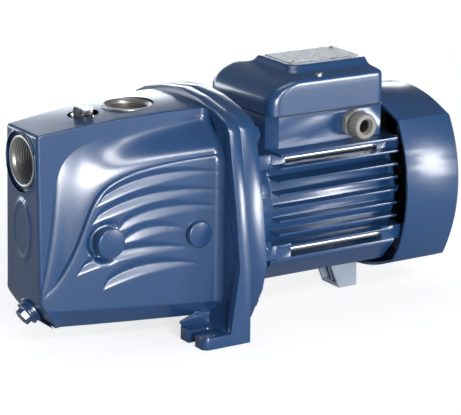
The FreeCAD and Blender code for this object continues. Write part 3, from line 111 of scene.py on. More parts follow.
SWEEP_N, SWEEP_HALF = 40, 7                          # stops along the sweep, and half its width in metres
SWEEP_FRONT, SWEEP_FLAT, SWEEP_BEND = -6, 8, 1.5   # front edge, length of the flat part, radius of the bend
run = np.linspace(0, 1, SWEEP_N)
bend = (run - 0.5) / 0.5 * math.pi / 2
bend_start = SWEEP_FRONT + SWEEP_FLAT
profile_y = np.where(run < 0.5, SWEEP_FRONT + run / 0.5 * SWEEP_FLAT, bend_start + SWEEP_BEND * np.sin(bend))
profile_z = np.where(run < 0.5, 0.0, SWEEP_BEND - SWEEP_BEND * np.cos(bend)) - 0.0002
sweep_mesh = bpy.data.meshes.new("sweep")
sweep_co = [np.column_stack([np.full(SWEEP_N, sx), profile_y, profile_z])
            for sx in (-SWEEP_HALF, SWEEP_HALF)]
sweep_quads = [(i, i + SWEEP_N, i + SWEEP_N + 1, i + 1) for i in range(SWEEP_N - 1)]
sweep_mesh.from_pydata(np.concatenate(sweep_co).tolist(), [], sweep_quads)
sweep = bpy.data.objects.new("sweep", sweep_mesh)
bpy.context.scene.collection.objects.link(sweep)
for poly in sweep_mesh.polygons:
    poly.use_smooth = True


def maths(tree, operation, *values):
    """Result of a Math node whose inputs are numbers, or sockets to be linked."""
    node = tree.nodes.new("ShaderNodeMath")
    node.operation = operation
    for socket, value in zip(node.inputs, values):
        if isinstance(value, float):
            socket.default_value = value
        else:
            tree.links.new(value, socket)
    return node.outputs[0]


paper = bpy.data.materials.new("white_paper")
paper.use_nodes = True
paper_tree = paper.node_tree
paper_shader = paper_tree.nodes["Principled BSDF"]
paper_shader.inputs["Base Color"].default_value = (0.42, 0.42, 0.43, 1)
paper_shader.inputs["Roughness"].default_value = 0.85
paper_shader.inputs["Specular IOR Level"].default_value = 0.2
# the paper is lit a little from behind, which only the lens sees
path = paper_tree.nodes.new("ShaderNodeLightPath")
glow = maths(paper_tree, "MULTIPLY", path.outputs["Is Camera Ray"], 0.72)
paper_tree.links.new(glow, paper_shader.inputs["Emission Strength"])
paper_shader.inputs["Emission Color"].default_value = (1, 1, 1, 1)
sweep_mesh.materials.append(paper)

# ----------------------------------------------------------------------------------------------------------
# Blue enamel: a sprayed gloss coat over the castings and pressings, with a faint orange peel and slow
# changes of shade and gloss.  Every finish of the pump takes its colour, roughness and fine relief from the
# same wear group.


def group_sockets(group, ins, outs):
    """Declares named inputs (name, kind, value) and outputs (name, kind) on a node group."""
    for name, kind, value in ins:
        socket = group.interface.new_socket(name=name, in_out="INPUT", socket_type=kind)
        socket.default_value = value
    for name, kind in outs:
        group.interface.new_socket(name=name, in_out="OUTPUT", socket_type=kind)
    return group.nodes.new("NodeGroupInput"), group.nodes.new("NodeGroupOutput")


surface_wear = bpy.data.node_groups.new("surface_wear", "ShaderNodeTree")
g_in, g_out = group_sockets(
    surface_wear,
    [("Color", "NodeSocketColor", (0.5, 0.5, 0.5, 1)), ("Shade Change", "NodeSocketFloat", 0.08),
     ("Patch Scale", "NodeSocketFloat", 25.0), ("Roughness", "NodeSocketFloat", 0.3),
     ("Roughness Change", "NodeSocketFloat", 0.08), ("Grain Scale", "NodeSocketFloat", 900.0),
     ("Grain Depth", "NodeSocketFloat", 0.1)],
    [("Color", "NodeSocketColor"), ("Roughness", "NodeSocketFloat"), ("Height", "NodeSocketFloat")])
wear_links = surface_wear.links
coords = surface_wear.nodes.new("ShaderNodeTexCoord")
patches = surface_wear.nodes.new("ShaderNodeTexNoise")
patches.inputs["Detail"].default_value = 3.0
grain = surface_wear.nodes.new("ShaderNodeTexNoise")
grain.inputs["Detail"].default_value = 2.0
for noise, scale in ((patches, "Patch Scale"), (grain, "Grain Scale")):
    wear_links.new(coords.outputs["Object"], noise.inputs["Vector"])
    wear_links.new(g_in.outputs[scale], noise.inputs["Scale"])
centred = maths(surface_wear, "SUBTRACT", patches.outputs["Fac"], 0.5)
shaded = surface_wear.nodes.new("ShaderNodeVectorMath")
shaded.operation = "SCALE"
wear_links.new(g_in.outputs["Color"], shaded.inputs[0])
wear_links.new(maths(surface_wear, "MULTIPLY_ADD", centred, g_in.outputs["Shade Change"], 1.0),
               shaded.inputs["Scale"])
wear_links.new(shaded.outputs[0], g_out.inputs["Color"])
wear_links.new(maths(surface_wear, "MULTIPLY_ADD", centred, g_in.outputs["Roughness Change"],
                     g_in.outputs["Roughness"]), g_out.inputs["Roughness"])
wear_links.new(maths(surface_wear, "MULTIPLY", grain.outputs["Fac"], g_in.outputs["Grain Depth"]),
               g_out.inputs["Height"])


def finish_material(name, color, roughness, metallic=0.0, shade=0.08, patch=25.0, rough_change=0.08,
                    grain_scale=900.0, grain_depth=0.1, bump=0.0002, coat=0.0, specular=0.5,
                    coat_roughness=0.1):
    """Principled material whose colour, roughness and fine relief come from the surface_wear group."""
    material = bpy.data.materials.new(name)
    material.use_nodes = True
    tree = material.node_tree
    shader = tree.nodes["Principled BSDF"]
    wear = tree.nodes.new("ShaderNodeGroup")
    wear.node_tree = surface_wear
    wear.inputs["Color"].default_value = (*color, 1)
    for socket, value in (("Shade Change", shade), ("Patch Scale", patch), ("Roughness", roughness),
                          ("Roughness Change", rough_change), ("Grain Scale", grain_scale),
                          ("Grain Depth", grain_depth)):
        wear.inputs[socket].default_value = value
    relief = tree.nodes.new("ShaderNodeBump")
    relief.inputs["Distance"].default_value = bump
    tree.links.new(wear.outputs["Color"], shader.inputs["Base Color"])
    tree.links.new(wear.outputs["Roughness"], shader.inputs["Roughness"])
    tree.links.new(wear.outputs["Height"], relief.inputs["Height"])
    tree.links.new(relief.outputs["Normal"], shader.inputs["Normal"])
    shader.inputs["Metallic"].default_value = metallic
    shader.inputs["Coat Weight"].default_value = coat
    shader.inputs["Coat Roughness"].default_value = coat_roughness
    shader.inputs["Specular IOR Level"].default_value = specular
    return material


enamel = finish_material("blue_enamel", (0.013, 0.052, 0.145), 0.29, patch=18.0, grain_scale=650.0,
                         grain_depth=0.30, coat=0.45, specular=0.8, coat_roughness=0.16)
machined = finish_material("machined_iron", (0.42, 0.41, 0.40), 0.38, metallic=0.85, shade=0.25, patch=60.0,
                           rough_change=0.2, grain_scale=1500.0, grain_depth=0.3, bump=0.0001)

# ----------------------------------------------------------------------------------------------------------
# Pump casing: one iron casting.  A narrow upright block carries the suction port, and a bell with two
# sweeping folds, shallow flutes and two flat round bosses on each side widens from it to the joint flange.
NOSE_X, FLANGE_X = -172.0, -11.5                     # suction face, and front of the joint flange
EDGE_R, RIM_R, FILLET_R = 2.6, 1.6, 6.0              # rounding of the front edge, the top edge, the flange
CROWN_Z, CROWN_RISE, CROWN_ROUND = 193.0, 13.0, 0.0016
SOLE_Z, CUT_Z, CUT_RUN = 17.0, 43.0, 18.0            # underside, and the reach of its cut front corner
HEM_Z, HEM_FALL = 36.0, 5.0                          # where the panel turns under, and its fall rearwards
BLOCK_HALF, BLOCK_SPREAD = 28.0, 16.0                # half width of the block at the front, and its growth
PANEL_HALF, PANEL_SPREAD = 31.0, 40.0                # the same of the fluted panel
FOLD_STEP, MOON_DEPTH = 2.6, 4.2                     # sink below the second fold, and at the front boss
SUCTION_Z, RECESS_R = 165.0, 27.0
DISCHARGE_X, PRIMING_X = -66.0, -111.0
RING_HOLES = ((DISCHARGE_X, 23.2), (PRIMING_X, 13.9))   # openings in the top, x and radius
FLUTES = (  # x and z of the front tip, x and z of the rear end, depth
    (-126, 127.0, -14, 150.5, 2.9), (-131, 110.5, -14, 134.0, 3.0), (-108, 103.5, -14, 119.0, 2.6),
    (-104, 89.0, -44, 101.5, 2.2), (-143, 66.5, -40, 84.0, 3.6), (-121, 51.0, -32, 68.5, 3.4))
BOSSES = ((-112.0, 95.0, 13.6, 52.6), (-32.0, 96.0, 12.0, 70.6))   # x, z, radius, half width of the flat
PLAIN_BOSSES = ((-100, 94, 14.5), (-29, 94, 13.0))   # x, z and cleared radius of the plain bosses underneath


def bezier(p0, p1, p2, p3, x):
    """Height at x of the cubic through p0 and p3 that leaves and arrives towards p1 and p2."""
    t = np.linspace(0, 1, 400)
    c = [(1 - t) ** 3 * a + 3 * (1 - t) ** 2 * t * b + 3 * (1 - t) * t ** 2 * c_ + t ** 3 * d
         for a, b, c_, d in zip(p0, p1, p2, p3)]
    return np.interp(x, c[0], c[1])


def along_casing(x):
    """Share of the way from the suction face to the flange."""
    return np.clip((x - NOSE_X) / (FLANGE_X - NOSE_X), 0, 1)


def casing_top(x, y=0.0):
    """Crown of the casing: a quarter sine from the suction face to the flange, less a parabola across."""
    s = along_casing(x)
    return CROWN_Z + CROWN_RISE * np.sin(s * math.pi / 2) - CROWN_ROUND * np.abs(y) ** 2 * s


def casing_low(x):
    """Underside: level, with the front corner cut back."""
    return np.maximum(CUT_Z - (x - NOSE_X) * (CUT_Z - SOLE_Z) / CUT_RUN, SOLE_Z)


def first_fold(x):
    """Height of the fold between the block and the flare, kept just below the crown."""
    return np.minimum(bezier((-173, 45), (-139.7, 189.7), (-189.7, 179.9), (-11, 198), x), casing_top(x) - 4)


def second_fold(x):
    """Height of the fold between the flare and the fluted panel."""
    return bezier((-172, 44.5), (-100.7, 128.8), (-170.5, 158.8), (-11, 167), x)


def smooth(t):
    """Cubic step from 0 to 1, level at both ends."""
    t = np.clip(t, 0, 1)
    return t * t * (3 - 2 * t)


def casing_half(x, z):
    """Half width of the casing: a flat block above the first fold, a flare up to the second fold, and below
    it the fluted panel, which bellies out towards the flange and turns under at its hem."""
    s = along_casing(x)
    block = BLOCK_HALF + BLOCK_SPREAD * s + (casing_top(x) - z) / 150.0 * 3.0
    panel = PANEL_HALF + PANEL_SPREAD * s ** 0.85
    first, second = first_fold(x), second_fold(x)
    below = second - z
    # the flare leaves the block sharply at the front and softly towards the flange
    rise = np.clip((first - z) / np.maximum(first - second, 0.6), 0, 1)
    fade = smooth((x + 150.0) / 60.0)
    climb = (1 - (1 - rise) ** 2.2) * (1 - fade) + smooth(rise) * fade
    step = FOLD_STEP * smooth((x - NOSE_X) / 25)
    flare = block + (panel - step - block) * climb
    half = np.where(below < 0, flare, panel - step * np.exp(-np.maximum(below, 0) / 2.2))
    for x0, z0, x1, z1, depth in FLUTES:
        # a leaf-shaped groove above its line, which deepens, closes again, and fades at both tips
        u = (x - x0) / (x1 - x0)
        along = np.clip(u, 0, 1)
        line = z0 + (z1 - z0) * (1 - (1 - along) ** 2.1)
        size = np.sin(math.pi * along ** 0.62) ** 0.85 * smooth(along / 0.10)
        facet = 7.5 * size + 0.4
        d = (z - line) / facet
        groove = np.where(d < 1, np.clip(d, 0, 1), np.clip(1 - (d - 1) / 0.9, 0, 1))
        half = half - np.where((u > 0) & (u < 1), depth * size * groove ** 1.1, 0) * smooth(below / 7.0)
    bx, bz, radius, _ = BOSSES[0]
    r = np.hypot(x - bx, z - bz)
    angle = np.arctan2(z - bz, x - bx)
    moon = np.exp(-((r - radius - 1.5) / 3.4) ** 2) * smooth((0.55 - np.cos(angle + 0.15)) / 0.9)
    half = half - MOON_DEPTH * moon * smooth(below / 5.0)
    hem = HEM_Z - HEM_FALL * s
    half = half - (np.maximum(hem - z, 0) * 0.75 + 0.6 * smooth((hem + 1.5 - z) / 3)) * smooth(s * 6)
    gap = np.minimum(FLANGE_X - x, FILLET_R)
    return half + FILLET_R - np.sqrt(np.maximum(FILLET_R ** 2 - (FILLET_R - gap) ** 2, 0))


def stations():
    """Stops along the shaft: close together at the rounded front edge and round the two holes in the top."""
    stops = [NOSE_X + EDGE_R * (1 - np.cos(np.linspace(0, math.pi / 2, 7)))]
    stops.append(np.linspace(NOSE_X + EDGE_R, FLANGE_X - FILLET_R, 190))
    stops.append(FLANGE_X - FILLET_R + FILLET_R * np.sin(np.linspace(0, math.pi / 2, 8)))
    stops += [cx - r * np.cos(np.linspace(0, math.pi, 41)) for cx, r in RING_HOLES]
    stops = np.unique(np.round(np.concatenate(stops), 3))
    return stops[np.concatenate([[True], np.diff(stops) > 0.04])]


def spread(n):
    """n shares from 0 to 1, closer together at both ends."""
    return (1 - np.cos(np.linspace(0, math.pi, n))) / 2


def casing_grid(side):
    """Half of the casing's skin as a grid: rings run from the middle of the top, over the side, to the
    middle of the underside, and follow each other from the suction recess to the flange."""
    x = stations()[:, None]
    inset = EDGE_R - np.sqrt(np.maximum(EDGE_R ** 2 - np.maximum(EDGE_R - (x - NOSE_X), 0) ** 2, 0))
    low, first = casing_low(x), first_fold(x)
    second = np.minimum(second_fold(x), first - 0.4)
    hem = np.minimum(np.maximum(HEM_Z - HEM_FALL * along_casing(x), low + 1.0), second - 0.4)
    first, second = np.maximum(first, low + 3), np.maximum(second, low + 2.2)
    hem = np.minimum(hem, second - 0.3)
    crown = casing_top(x, 30.0) - RIM_R
    zones = [(crown, first, 44), (first, second, 56), (second, hem, 128), (hem, low + 1.2, 12)]
    z = [a + (b - a) * spread(n)[None, (k > 0):] for k, (a, b, n) in enumerate(zones)]
    z = np.concatenate(z, axis=1)
    half = casing_half(x, z) - inset
    z = z - inset * smooth((z - 120) / 60) + inset * smooth((80 - z) / 35)
    rim, foot = half[:, :1], half[:, -1:]
    hole = np.zeros_like(x)
    for cx, r in RING_HOLES:
        hole = np.maximum(hole, np.sqrt(np.maximum(r * r - (x - cx) ** 2, 0)))
    over = np.linspace(0, 1, 26)[None, :]
    top_y = hole + (rim - RIM_R - hole) * over
    top_z = casing_top(x, top_y) - inset
    turn = np.linspace(0, math.pi / 2, 6)[None, 1:-1]
    bend_y = rim - RIM_R + RIM_R * np.sin(turn)
    bend_z = top_z[:, -1:] - RIM_R * (1 - np.cos(turn))
    under = np.linspace(0, 1, 18)[None, 1:]
    low_y = (foot - 1.2) * (1 - under)
    low_z = np.repeat(low + inset * 0.8, under.shape[1], axis=1)
    ring_y = np.concatenate([top_y, bend_y, half, foot - 1.2, low_y], axis=1)
    ring_z = np.concatenate([top_z, bend_z, z, low + inset * 0.8, low_z], axis=1)
    ring_x = np.repeat(x, ring_y.shape[1], axis=1)
    # the front face runs from the recess round the suction port out to the first ring
    y0, z0 = ring_y[0], ring_z[0]
    reach = np.hypot(y0, z0 - SUCTION_Z)
    hub_y, hub_z = y0 / reach * RECESS_R, SUCTION_Z + (z0 - SUCTION_Z) / reach * RECESS_R
    share = np.linspace(0, 1, 40)[:-1, None]
    face_y, face_z = hub_y + (y0 - hub_y) * share, hub_z + (z0 - hub_z) * share
    pad = np.hypot(face_y / 17.0, (face_z - 103.0) / 30.0)
    raised = 1.3 * smooth((1.0 - pad) / 0.07) - 0.8 * smooth((0.80 - pad) / 0.10)
    lip = 1.4 * smooth((RECESS_R + 3.2 - np.hypot(face_y, face_z - SUCTION_Z)) / 3.0)
    face_x = NOSE_X - raised - lip
    grid_x = np.concatenate([face_x, ring_x])
    grid_y = np.concatenate([face_y, ring_y]) * side
    grid_z = np.concatenate([face_z, ring_z])
    return grid_x, grid_y, grid_z


def grid_piece(name, gx, gy, gz, material, flip=False, closed=False):
    """Mesh piece from arrays of millimetre positions; rows and columns become quads."""
    rows, cols = gx.shape
    co = np.column_stack([(joint_x + gx.ravel()), gy.ravel(), gz.ravel()]) * MM
    i, j = np.meshgrid(np.arange(rows - 1), np.arange(cols if closed else cols - 1), indexing="ij")
    k = (j + 1) % cols
    here, there = i * cols, (i + 1) * cols
    quads = np.stack([here + j, here + k, there + k, there + j], axis=-1).reshape(-1, 4)
    if flip:
        quads = quads[:, ::-1]
    mesh = bpy.data.meshes.new(name)
    mesh.from_pydata(co.tolist(), [], quads.tolist())
    mesh.materials.append(material)
    mesh.polygons.foreach_set("use_smooth", np.ones(len(quads), bool))
    piece = bpy.data.objects.new(name, mesh)
    bpy.context.scene.collection.objects.link(piece)
    bm = bmesh.new()
    bm.from_mesh(mesh)
    bmesh.ops.remove_doubles(bm, verts=bm.verts, dist=2e-6)
    bm.to_mesh(mesh)
    bm.free()
    mesh.update()
    return piece


for side, name in ((-1, "casing_left_half"), (1, "casing_right_half")):
    skin = grid_piece(name, *casing_grid(side), enamel, flip=side > 0)
    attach(skin, "pump")


def lathe_piece(name, profile, centre, axis, material, steps=72, flip=False):
    """Profile of (radius, distance) pairs in millimetres, turned about an axis through centre."""
    profile = np.array(profile, float)
    axis = Vector(axis).normalized()
    side = axis.orthogonal().normalized()
    other = axis.cross(side)
    turn = np.linspace(0, 2 * math.pi, steps, endpoint=False)[None, :]
    r, d = profile[:, :1], profile[:, 1:]
    points = [centre[n] + d * axis[n] + r * (np.cos(turn) * side[n] + np.sin(turn) * other[n])
              for n in range(3)]
    return grid_piece(name, *points, material, flip=flip, closed=True)


def crisp_edges(piece, angle=30.0):
    """Keeps edges sharper than the angle crisp while the rest is shaded smooth."""
    limit = math.radians(angle)
    bm = bmesh.new()
    bm.from_mesh(piece.data)
    for edge in bm.edges:
        edge.smooth = not (len(edge.link_faces) == 2 and edge.calc_face_angle(0) > limit)
    for face in bm.faces:
        face.smooth = True
    bm.to_mesh(piece.data)
    bm.free()


for k, (bx, bz, radius, flat) in enumerate(BOSSES):
    for side, name in ((-1, "left"), (1, "right")):
        disc = lathe_piece(f"casing_boss_{k + 1}_{name}",
                           [(0.01, flat), (radius - 1.2, flat), (radius - 0.5, flat - 0.2),
                            (radius, flat - 0.9), (radius + 0.2, flat - 9.0)],
                           (bx, 0, bz), (0, side, 0), enamel, flip=True)
        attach(disc, "pump")

# The rest of the casting: joint flange, feet and everything inside, with edges rounded as a casting's are.


def softened(name, sources, width, material=None, segments=2, keep=None, angle=35.0):
    """Merged copy of CAD nodes with rounded edges, which takes their place."""
    bm = bmesh.new()
    for source in sources:
        bm.from_mesh(nodes[source].data)
    bmesh.ops.remove_doubles(bm, verts=bm.verts, dist=1e-6)
    if keep:
        drop = [f for f in bm.faces if not keep(f.calc_center_median() / MM, f.normal)]
        bmesh.ops.delete(bm, geom=drop, context="FACES")
    bmesh.ops.dissolve_limit(bm, angle_limit=math.radians(1.0), verts=bm.verts, edges=bm.edges)
    mesh = bpy.data.meshes.new(name)
    bm.to_mesh(mesh)
    bm.free()
    mesh.materials.clear()
    mesh.materials.append(material or enamel)
    piece = bpy.data.objects.new(name, mesh)
    bpy.context.scene.collection.objects.link(piece)
    for poly in mesh.polygons:
        poly.use_smooth = True
    bevel = piece.modifiers.new("rounding", "BEVEL")
    bevel.width, bevel.segments, bevel.limit_method = width * MM, segments, "ANGLE"
    bevel.angle_limit = math.radians(angle)
    bevel.harden_normals = True
    bevel.use_clamp_overlap = True
    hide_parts(*sources)
    return piece


FOOT_TOP, FOOT_INNER = 12, 58                        # height of the foot pads, and the inner side of each


def casing_rest(c, n):
    """True for faces of the flange and feet, of the bores, and of chamber walls well inside the new skin."""
    x, y, z = c.x - joint_x, c.y, c.z
    if x > FLANGE_X - 0.2 or (z < FOOT_TOP and abs(y) > FOOT_INNER) or (abs(y) > 94.5 and x > FLANGE_X - 12):
        return True
    if math.hypot(y, z - SUCTION_Z) < RECESS_R:
        return True
    if math.hypot(x - DISCHARGE_X, y) < 26 or math.hypot(x - PRIMING_X, y) < 13.5:
        return True
    if x < -150 and z < 42 and abs(y) < 12.6:
        return True
    if abs(y) > 36 and any(math.hypot(x - bx, z - bz) < radius for bx, bz, radius in PLAIN_BOSSES):
        return False
    if n.y * y + n.z * (z - shaft_z) >= 0 or abs(y) >= 68 or abs(n.x) >= 0.98:
        return False
    return abs(y) < float(casing_half(x, z)) - 6.0


rest = softened("casing_flange_and_feet", ["pump_body"], 1.6, keep=casing_rest)
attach(rest, "pump")

# Cast fillets that carry the flange and the casing's flank down into each foot.
FILLET_OUT, FILLET_RISE = 13.0, 34.0
FLANK_OUT, FLANK_RISE, FLANK_X, FLANK_RUN = 14.0, 17.0, -47.0, 36.0
turn = np.linspace(0, math.pi / 2, 14)[:, None]
run = np.linspace(0, 1, 24)[None, :]
inward, upward = 1 - np.cos(turn), 1 - np.sin(turn)
for side, name in ((-1, "left"), (1, "right")):
    fillet = grid_piece(f"foot_fillet_{name}", FLANGE_X + 0.2 - FILLET_OUT * inward + 0 * run,
                        side * (FOOT_INNER + 43.5 * run) + 0 * turn,
                        10.6 + FILLET_RISE * upward * (1 - 0.35 * run ** 2), enamel, flip=side < 0)
    flank = grid_piece(f"flank_fillet_{name}", FLANK_X + FLANK_RUN * run + 0 * turn,
                       side * (FOOT_INNER + 1 + FLANK_OUT * inward) + 0 * run,
                       10.8 + FLANK_RISE * upward * (0.25 + 0.75 * run), enamel, flip=side > 0)
    for piece in (fillet, flank):
        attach(piece, "pump")


# The two threaded ports: a chamfered ring of bare machined iron round each mouth, and a pipe thread inside
# it.


THREAD_PITCH, THREAD_CREST, THREAD_ROOT, THREAD_DEPTH = 2.309, 18.7, 19.42, 18.0


def port_ring(name, centre, axis):
    """Ring and thread, turned about the port's axis; distances count outwards from the ring's seat."""
    thread = [(THREAD_ROOT, -THREAD_DEPTH - 1.0)]
    for k in range(int(THREAD_DEPTH / THREAD_PITCH)):
        d = -THREAD_DEPTH + k * THREAD_PITCH
        thread += [(THREAD_CREST, d), (THREAD_CREST, d + 0.3), (THREAD_ROOT, d + 1.1),
                   (THREAD_ROOT, d + 1.3), (THREAD_CREST, d + 2.1)]
    lip = [(19.4, 0.3), (20.7, 1.7), (21.0, 1.9), (22.6, 1.9), (23.1, 1.5), (23.2, -2.4)]
    return lathe_piece(name, thread + lip, centre, axis, machined, steps=96)


for name, centre, axis in (("suction_port_ring", (NOSE_X + 1.6, 0, SUCTION_Z), (-1, 0, 0)),
                           ("discharge_port_ring", (DISCHARGE_X, 0, 202.2), (0, 0, 1))):
    mouth = port_ring(name, centre, axis)
    crisp_edges(mouth, 40)
    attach(mouth, "pump")

# ----------------------------------------------------------------------------------------------------------
# Screw plugs: hexagon-headed turned steel.  The filling plug in the top is dark plated and sits on a copper
# washer, and the drain plug in the cut front corner is painted over together with its washer.


def dress(material, *names):
    """Gives CAD nodes a material in place of the plain one they came with."""
    for name in names:
        nodes[name].data.materials.clear()
        nodes[name].data.materials.append(material)


plated = finish_material("dark_chrome", (0.50, 0.51, 0.53), 0.14, metallic=1.0, shade=0.10, patch=90.0,
                         rough_change=0.08, grain_scale=1600.0, grain_depth=0.1, bump=0.0001)
copper = finish_material("copper_washer", (0.66, 0.30, 0.17), 0.34, metallic=1.0, shade=0.20, patch=120.0,
                         rough_change=0.15, grain_scale=1500.0, grain_depth=0.2, bump=0.0001)
priming_head = softened("priming_plug_head", ["priming_plug"], 0.6, plated, segments=3)
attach(priming_head, "priming_screw")
dress(copper, "priming_plug_seal")
drain_head = softened("drain_plug_head", ["drain_plug"], 0.7, segments=3)
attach(drain_head, "drain_screw")
dress(enamel, "drain_plug_seal")

# ----------------------------------------------------------------------------------------------------------
# Motor bracket: the iron casting between the pump casing and the motor, which holds the front bearing.
# Steel bolts through its flange hold the casing to it, and are painted over with it.
bracket = softened("bracket_casting", ["motor_bracket"], 1.3)
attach(bracket, "pump")
bolts = softened("bracket_bolts", ["flange_bolts"], 0.5)
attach(bolts, "pump")

# ----------------------------------------------------------------------------------------------------------
# Motor housing: an aluminium frame with straight cooling fins, painted with the pump, and the bearing
# shield that closes its rear.  The narrow rounding keeps the fins' edges catching light.
housing = softened("finned_housing", ["stator_housing"], 0.5)
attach(housing, "pump")
shield = softened("rear_bearing_shield", ["rear_shield"], 0.8)
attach(shield, "pump")

# Support foot: a small die-cast leg screwed under the fan end of the motor, in a paler grey-blue paint than
# the castings.
pale_paint = finish_material("pale_foot_paint", (0.30, 0.35, 0.43), 0.38, shade=0.10, patch=40.0,
                             rough_change=0.10, grain_depth=0.3, coat=0.2)
support = softened("support_foot", ["motor_foot"], 0.9, pale_paint)
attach(support, "pump")

# ----------------------------------------------------------------------------------------------------------
# Fan cover: deep drawn sheet steel with bulged sides, bevelled towards a ringed air grille at the rear and
# screwed to the rear shield.
cowl = softened("fan_cowl", ["fan_cover"], 1.0, segments=3, angle=20.0)
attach(cowl, "pump")

# ----------------------------------------------------------------------------------------------------------
# Terminal box: a die-cast tray on the motor's back, and a lid with upright sides, a long front that curves
# over, and a raised panel for the rating plate.  Screws pull the lid down on a rubber gasket.
tray = softened("terminal_tray", ["terminal_box_base"], 2.2, segments=3, angle=30.0)
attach(tray, "pump")


def lid_outline(x0, x1, half, front_r, rear_r):
    """Rounded rectangle in plan: x and y at even steps along its edge, from the middle of the near side."""
    corners = ((x1, -half, rear_r, -90), (x1, half, rear_r, 0),
               (x0, half, front_r, 90), (x0, -half, front_r, 180))
    px, py = [(x0 + x1) / 2], [-half]
    for cx, cy, r, start in corners:
        mx, my = cx - math.copysign(r, cx - (x0 + x1) / 2), cy - math.copysign(r, cy)
        for a in np.radians(np.linspace(start, start + 90, 10)):
            px.append(mx + r * math.cos(a))
            py.append(my + r * math.sin(a))
    px, py = np.array(px + px[:1]), np.array(py + py[:1])
    reach = np.concatenate([[0], np.cumsum(np.hypot(np.diff(px), np.diff(py)))])
    # every ring keeps the same count of points, so neighbouring rings join without twisting
    share = np.linspace(0, reach[-1], 180, endpoint=False)
    return np.interp(share, reach, px), np.interp(share, reach, py)


LID_RINGS = (  # side inset, front inset, rear inset, height above the floor
    (0.0, 0.0, 0.0, 187.9), (0.0, 0.0, 0.0, 190.0), (0.0, 0.1, 0.0, 197.0), (0.0, 0.4, 0.0, 202.0),
    (0.0, 1.8, 0.0, 204.6), (0.0, 4.4, 0.1, 207.8), (0.0, 7.8, 0.2, 210.8), (0.1, 11.8, 0.3, 213.4),
    (0.2, 16.0, 0.5, 215.4), (0.7, 20.2, 0.9, 217.0), (1.8, 23.4, 1.8, 218.1), (4.0, 26.0, 2.6, 218.9),
    (8.0, 28.6, 3.2, 219.5), (12.0, 30.8, 3.6, 220.2), (15.6, 32.6, 4.0, 221.3), (18.2, 34.0, 4.4, 223.6),
    (20.0, 35.4, 4.8, 225.9), (21.2, 36.6, 5.2, 226.8), (23.0, 38.0, 6.0, 227.0),
    (38.0, 50.0, 30.0, 227.0), (50.0, 62.0, 58.0, 227.0))
LID_WALL, LID_RIM_Z = 2.6, 188.0
LID_FRONT_R, LID_REAR_R = 11.0, 5.0
lid_min, lid_max = (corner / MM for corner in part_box("terminal_box_lid"))
inner_rings = [(side + LID_WALL, front + LID_WALL, rear + LID_WALL, z - (LID_WALL if z > LID_RIM_Z else 0.0))
               for side, front, rear, z in LID_RINGS[:-1]]
lid_x, lid_y, lid_z = [], [], []
for inset, front, rear, z in inner_rings[::-1] + list(LID_RINGS):
    half = lid_max.y - inset
    front_r, rear_r = max(min(LID_FRONT_R, half * 0.4), 0.3), max(min(LID_REAR_R, half * 0.3), 0.2)
    ring_x, ring_y = lid_outline(lid_min.x - joint_x + front, lid_max.x - joint_x - rear, max(half, 0.5),
                                 front_r, rear_r)
    lid_x.append(ring_x)
    lid_y.append(ring_y)
    lid_z.append(np.full_like(ring_x, z))
lid = grid_piece("terminal_lid", np.array(lid_x), np.array(lid_y), np.array(lid_z), enamel, closed=True)
crisp_edges(lid, 50)
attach(lid, "pump")
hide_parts("terminal_box_lid")

zinc = finish_material("zinc_plate", (0.56, 0.57, 0.58), 0.36, metallic=0.9, shade=0.20, patch=150.0,
                       rough_change=0.15, grain_scale=1500.0, grain_depth=0.3, bump=0.0001)
black_rubber = finish_material("black_rubber", (0.018, 0.018, 0.019), 0.62, shade=0.2, patch=120.0,
                               grain_scale=1200.0, grain_depth=0.4)
dress(zinc, "lid_screws")
dress(black_rubber, "terminal_box_gasket")

# Rating plate: satin anodised sheet printed with rows of plain marks, held on the lid's panel by two bright
# rivets at opposite corners.
printed_rows = bpy.data.node_groups.new("printed_rows", "ShaderNodeTree")
rows_in, rows_out = group_sockets(printed_rows, [("Row Scale", "NodeSocketFloat", 1.0)],
                                  [("Mask", "NodeSocketFloat")])
row_links = printed_rows.links
plate_coords = printed_rows.nodes.new("ShaderNodeTexCoord")
bricks = printed_rows.nodes.new("ShaderNodeTexBrick")
bricks.offset = 0.37
for socket, value in (("Mortar Size", 0.35), ("Brick Width", 6.0), ("Row Height", 3.2), ("Bias", 0.0),
                      ("Color1", (1, 1, 1, 1)), ("Color2", (0, 0, 0, 1)), ("Mortar", (0, 0, 0, 1))):
    bricks.inputs[socket].default_value = value
dashes = printed_rows.nodes.new("ShaderNodeTexNoise")
dashes.inputs["Scale"].default_value = 700.0
in_mm = printed_rows.nodes.new("ShaderNodeVectorMath")
in_mm.operation = "SCALE"
in_mm.inputs["Scale"].default_value = 1000.0
row_links.new(plate_coords.outputs["Object"], in_mm.inputs[0])
row_links.new(in_mm.outputs[0], bricks.inputs["Vector"])
row_links.new(rows_in.outputs["Row Scale"], bricks.inputs["Scale"])
row_links.new(plate_coords.outputs["Object"], dashes.inputs["Vector"])
dash_cut = maths(printed_rows, "GREATER_THAN", dashes.outputs["Fac"], 0.48)
row_links.new(maths(printed_rows, "MULTIPLY", bricks.outputs["Color"], dash_cut), rows_out.inputs["Mask"])
satin = finish_material("satin_plate", (0.46, 0.45, 0.43), 0.42, metallic=0.55, shade=0.12, patch=60.0,
                        rough_change=0.1, grain_scale=1800.0, grain_depth=0.2, bump=0.0001)
satin_tree = satin.node_tree
ink_mask = satin_tree.nodes.new("ShaderNodeGroup")
ink_mask.node_tree = printed_rows
inked = satin_tree.nodes.new("ShaderNodeMix")
inked.data_type = "RGBA"
inked.inputs["B"].default_value = (0.05, 0.06, 0.09, 1)
satin_tree.links.new(ink_mask.outputs["Mask"], inked.inputs["Factor"])
satin_tree.links.new(satin_tree.nodes["Group"].outputs["Color"], inked.inputs["A"])
satin_tree.links.new(inked.outputs["Result"], satin_tree.nodes["Principled BSDF"].inputs["Base Color"])
dress(satin, "rating_plate")
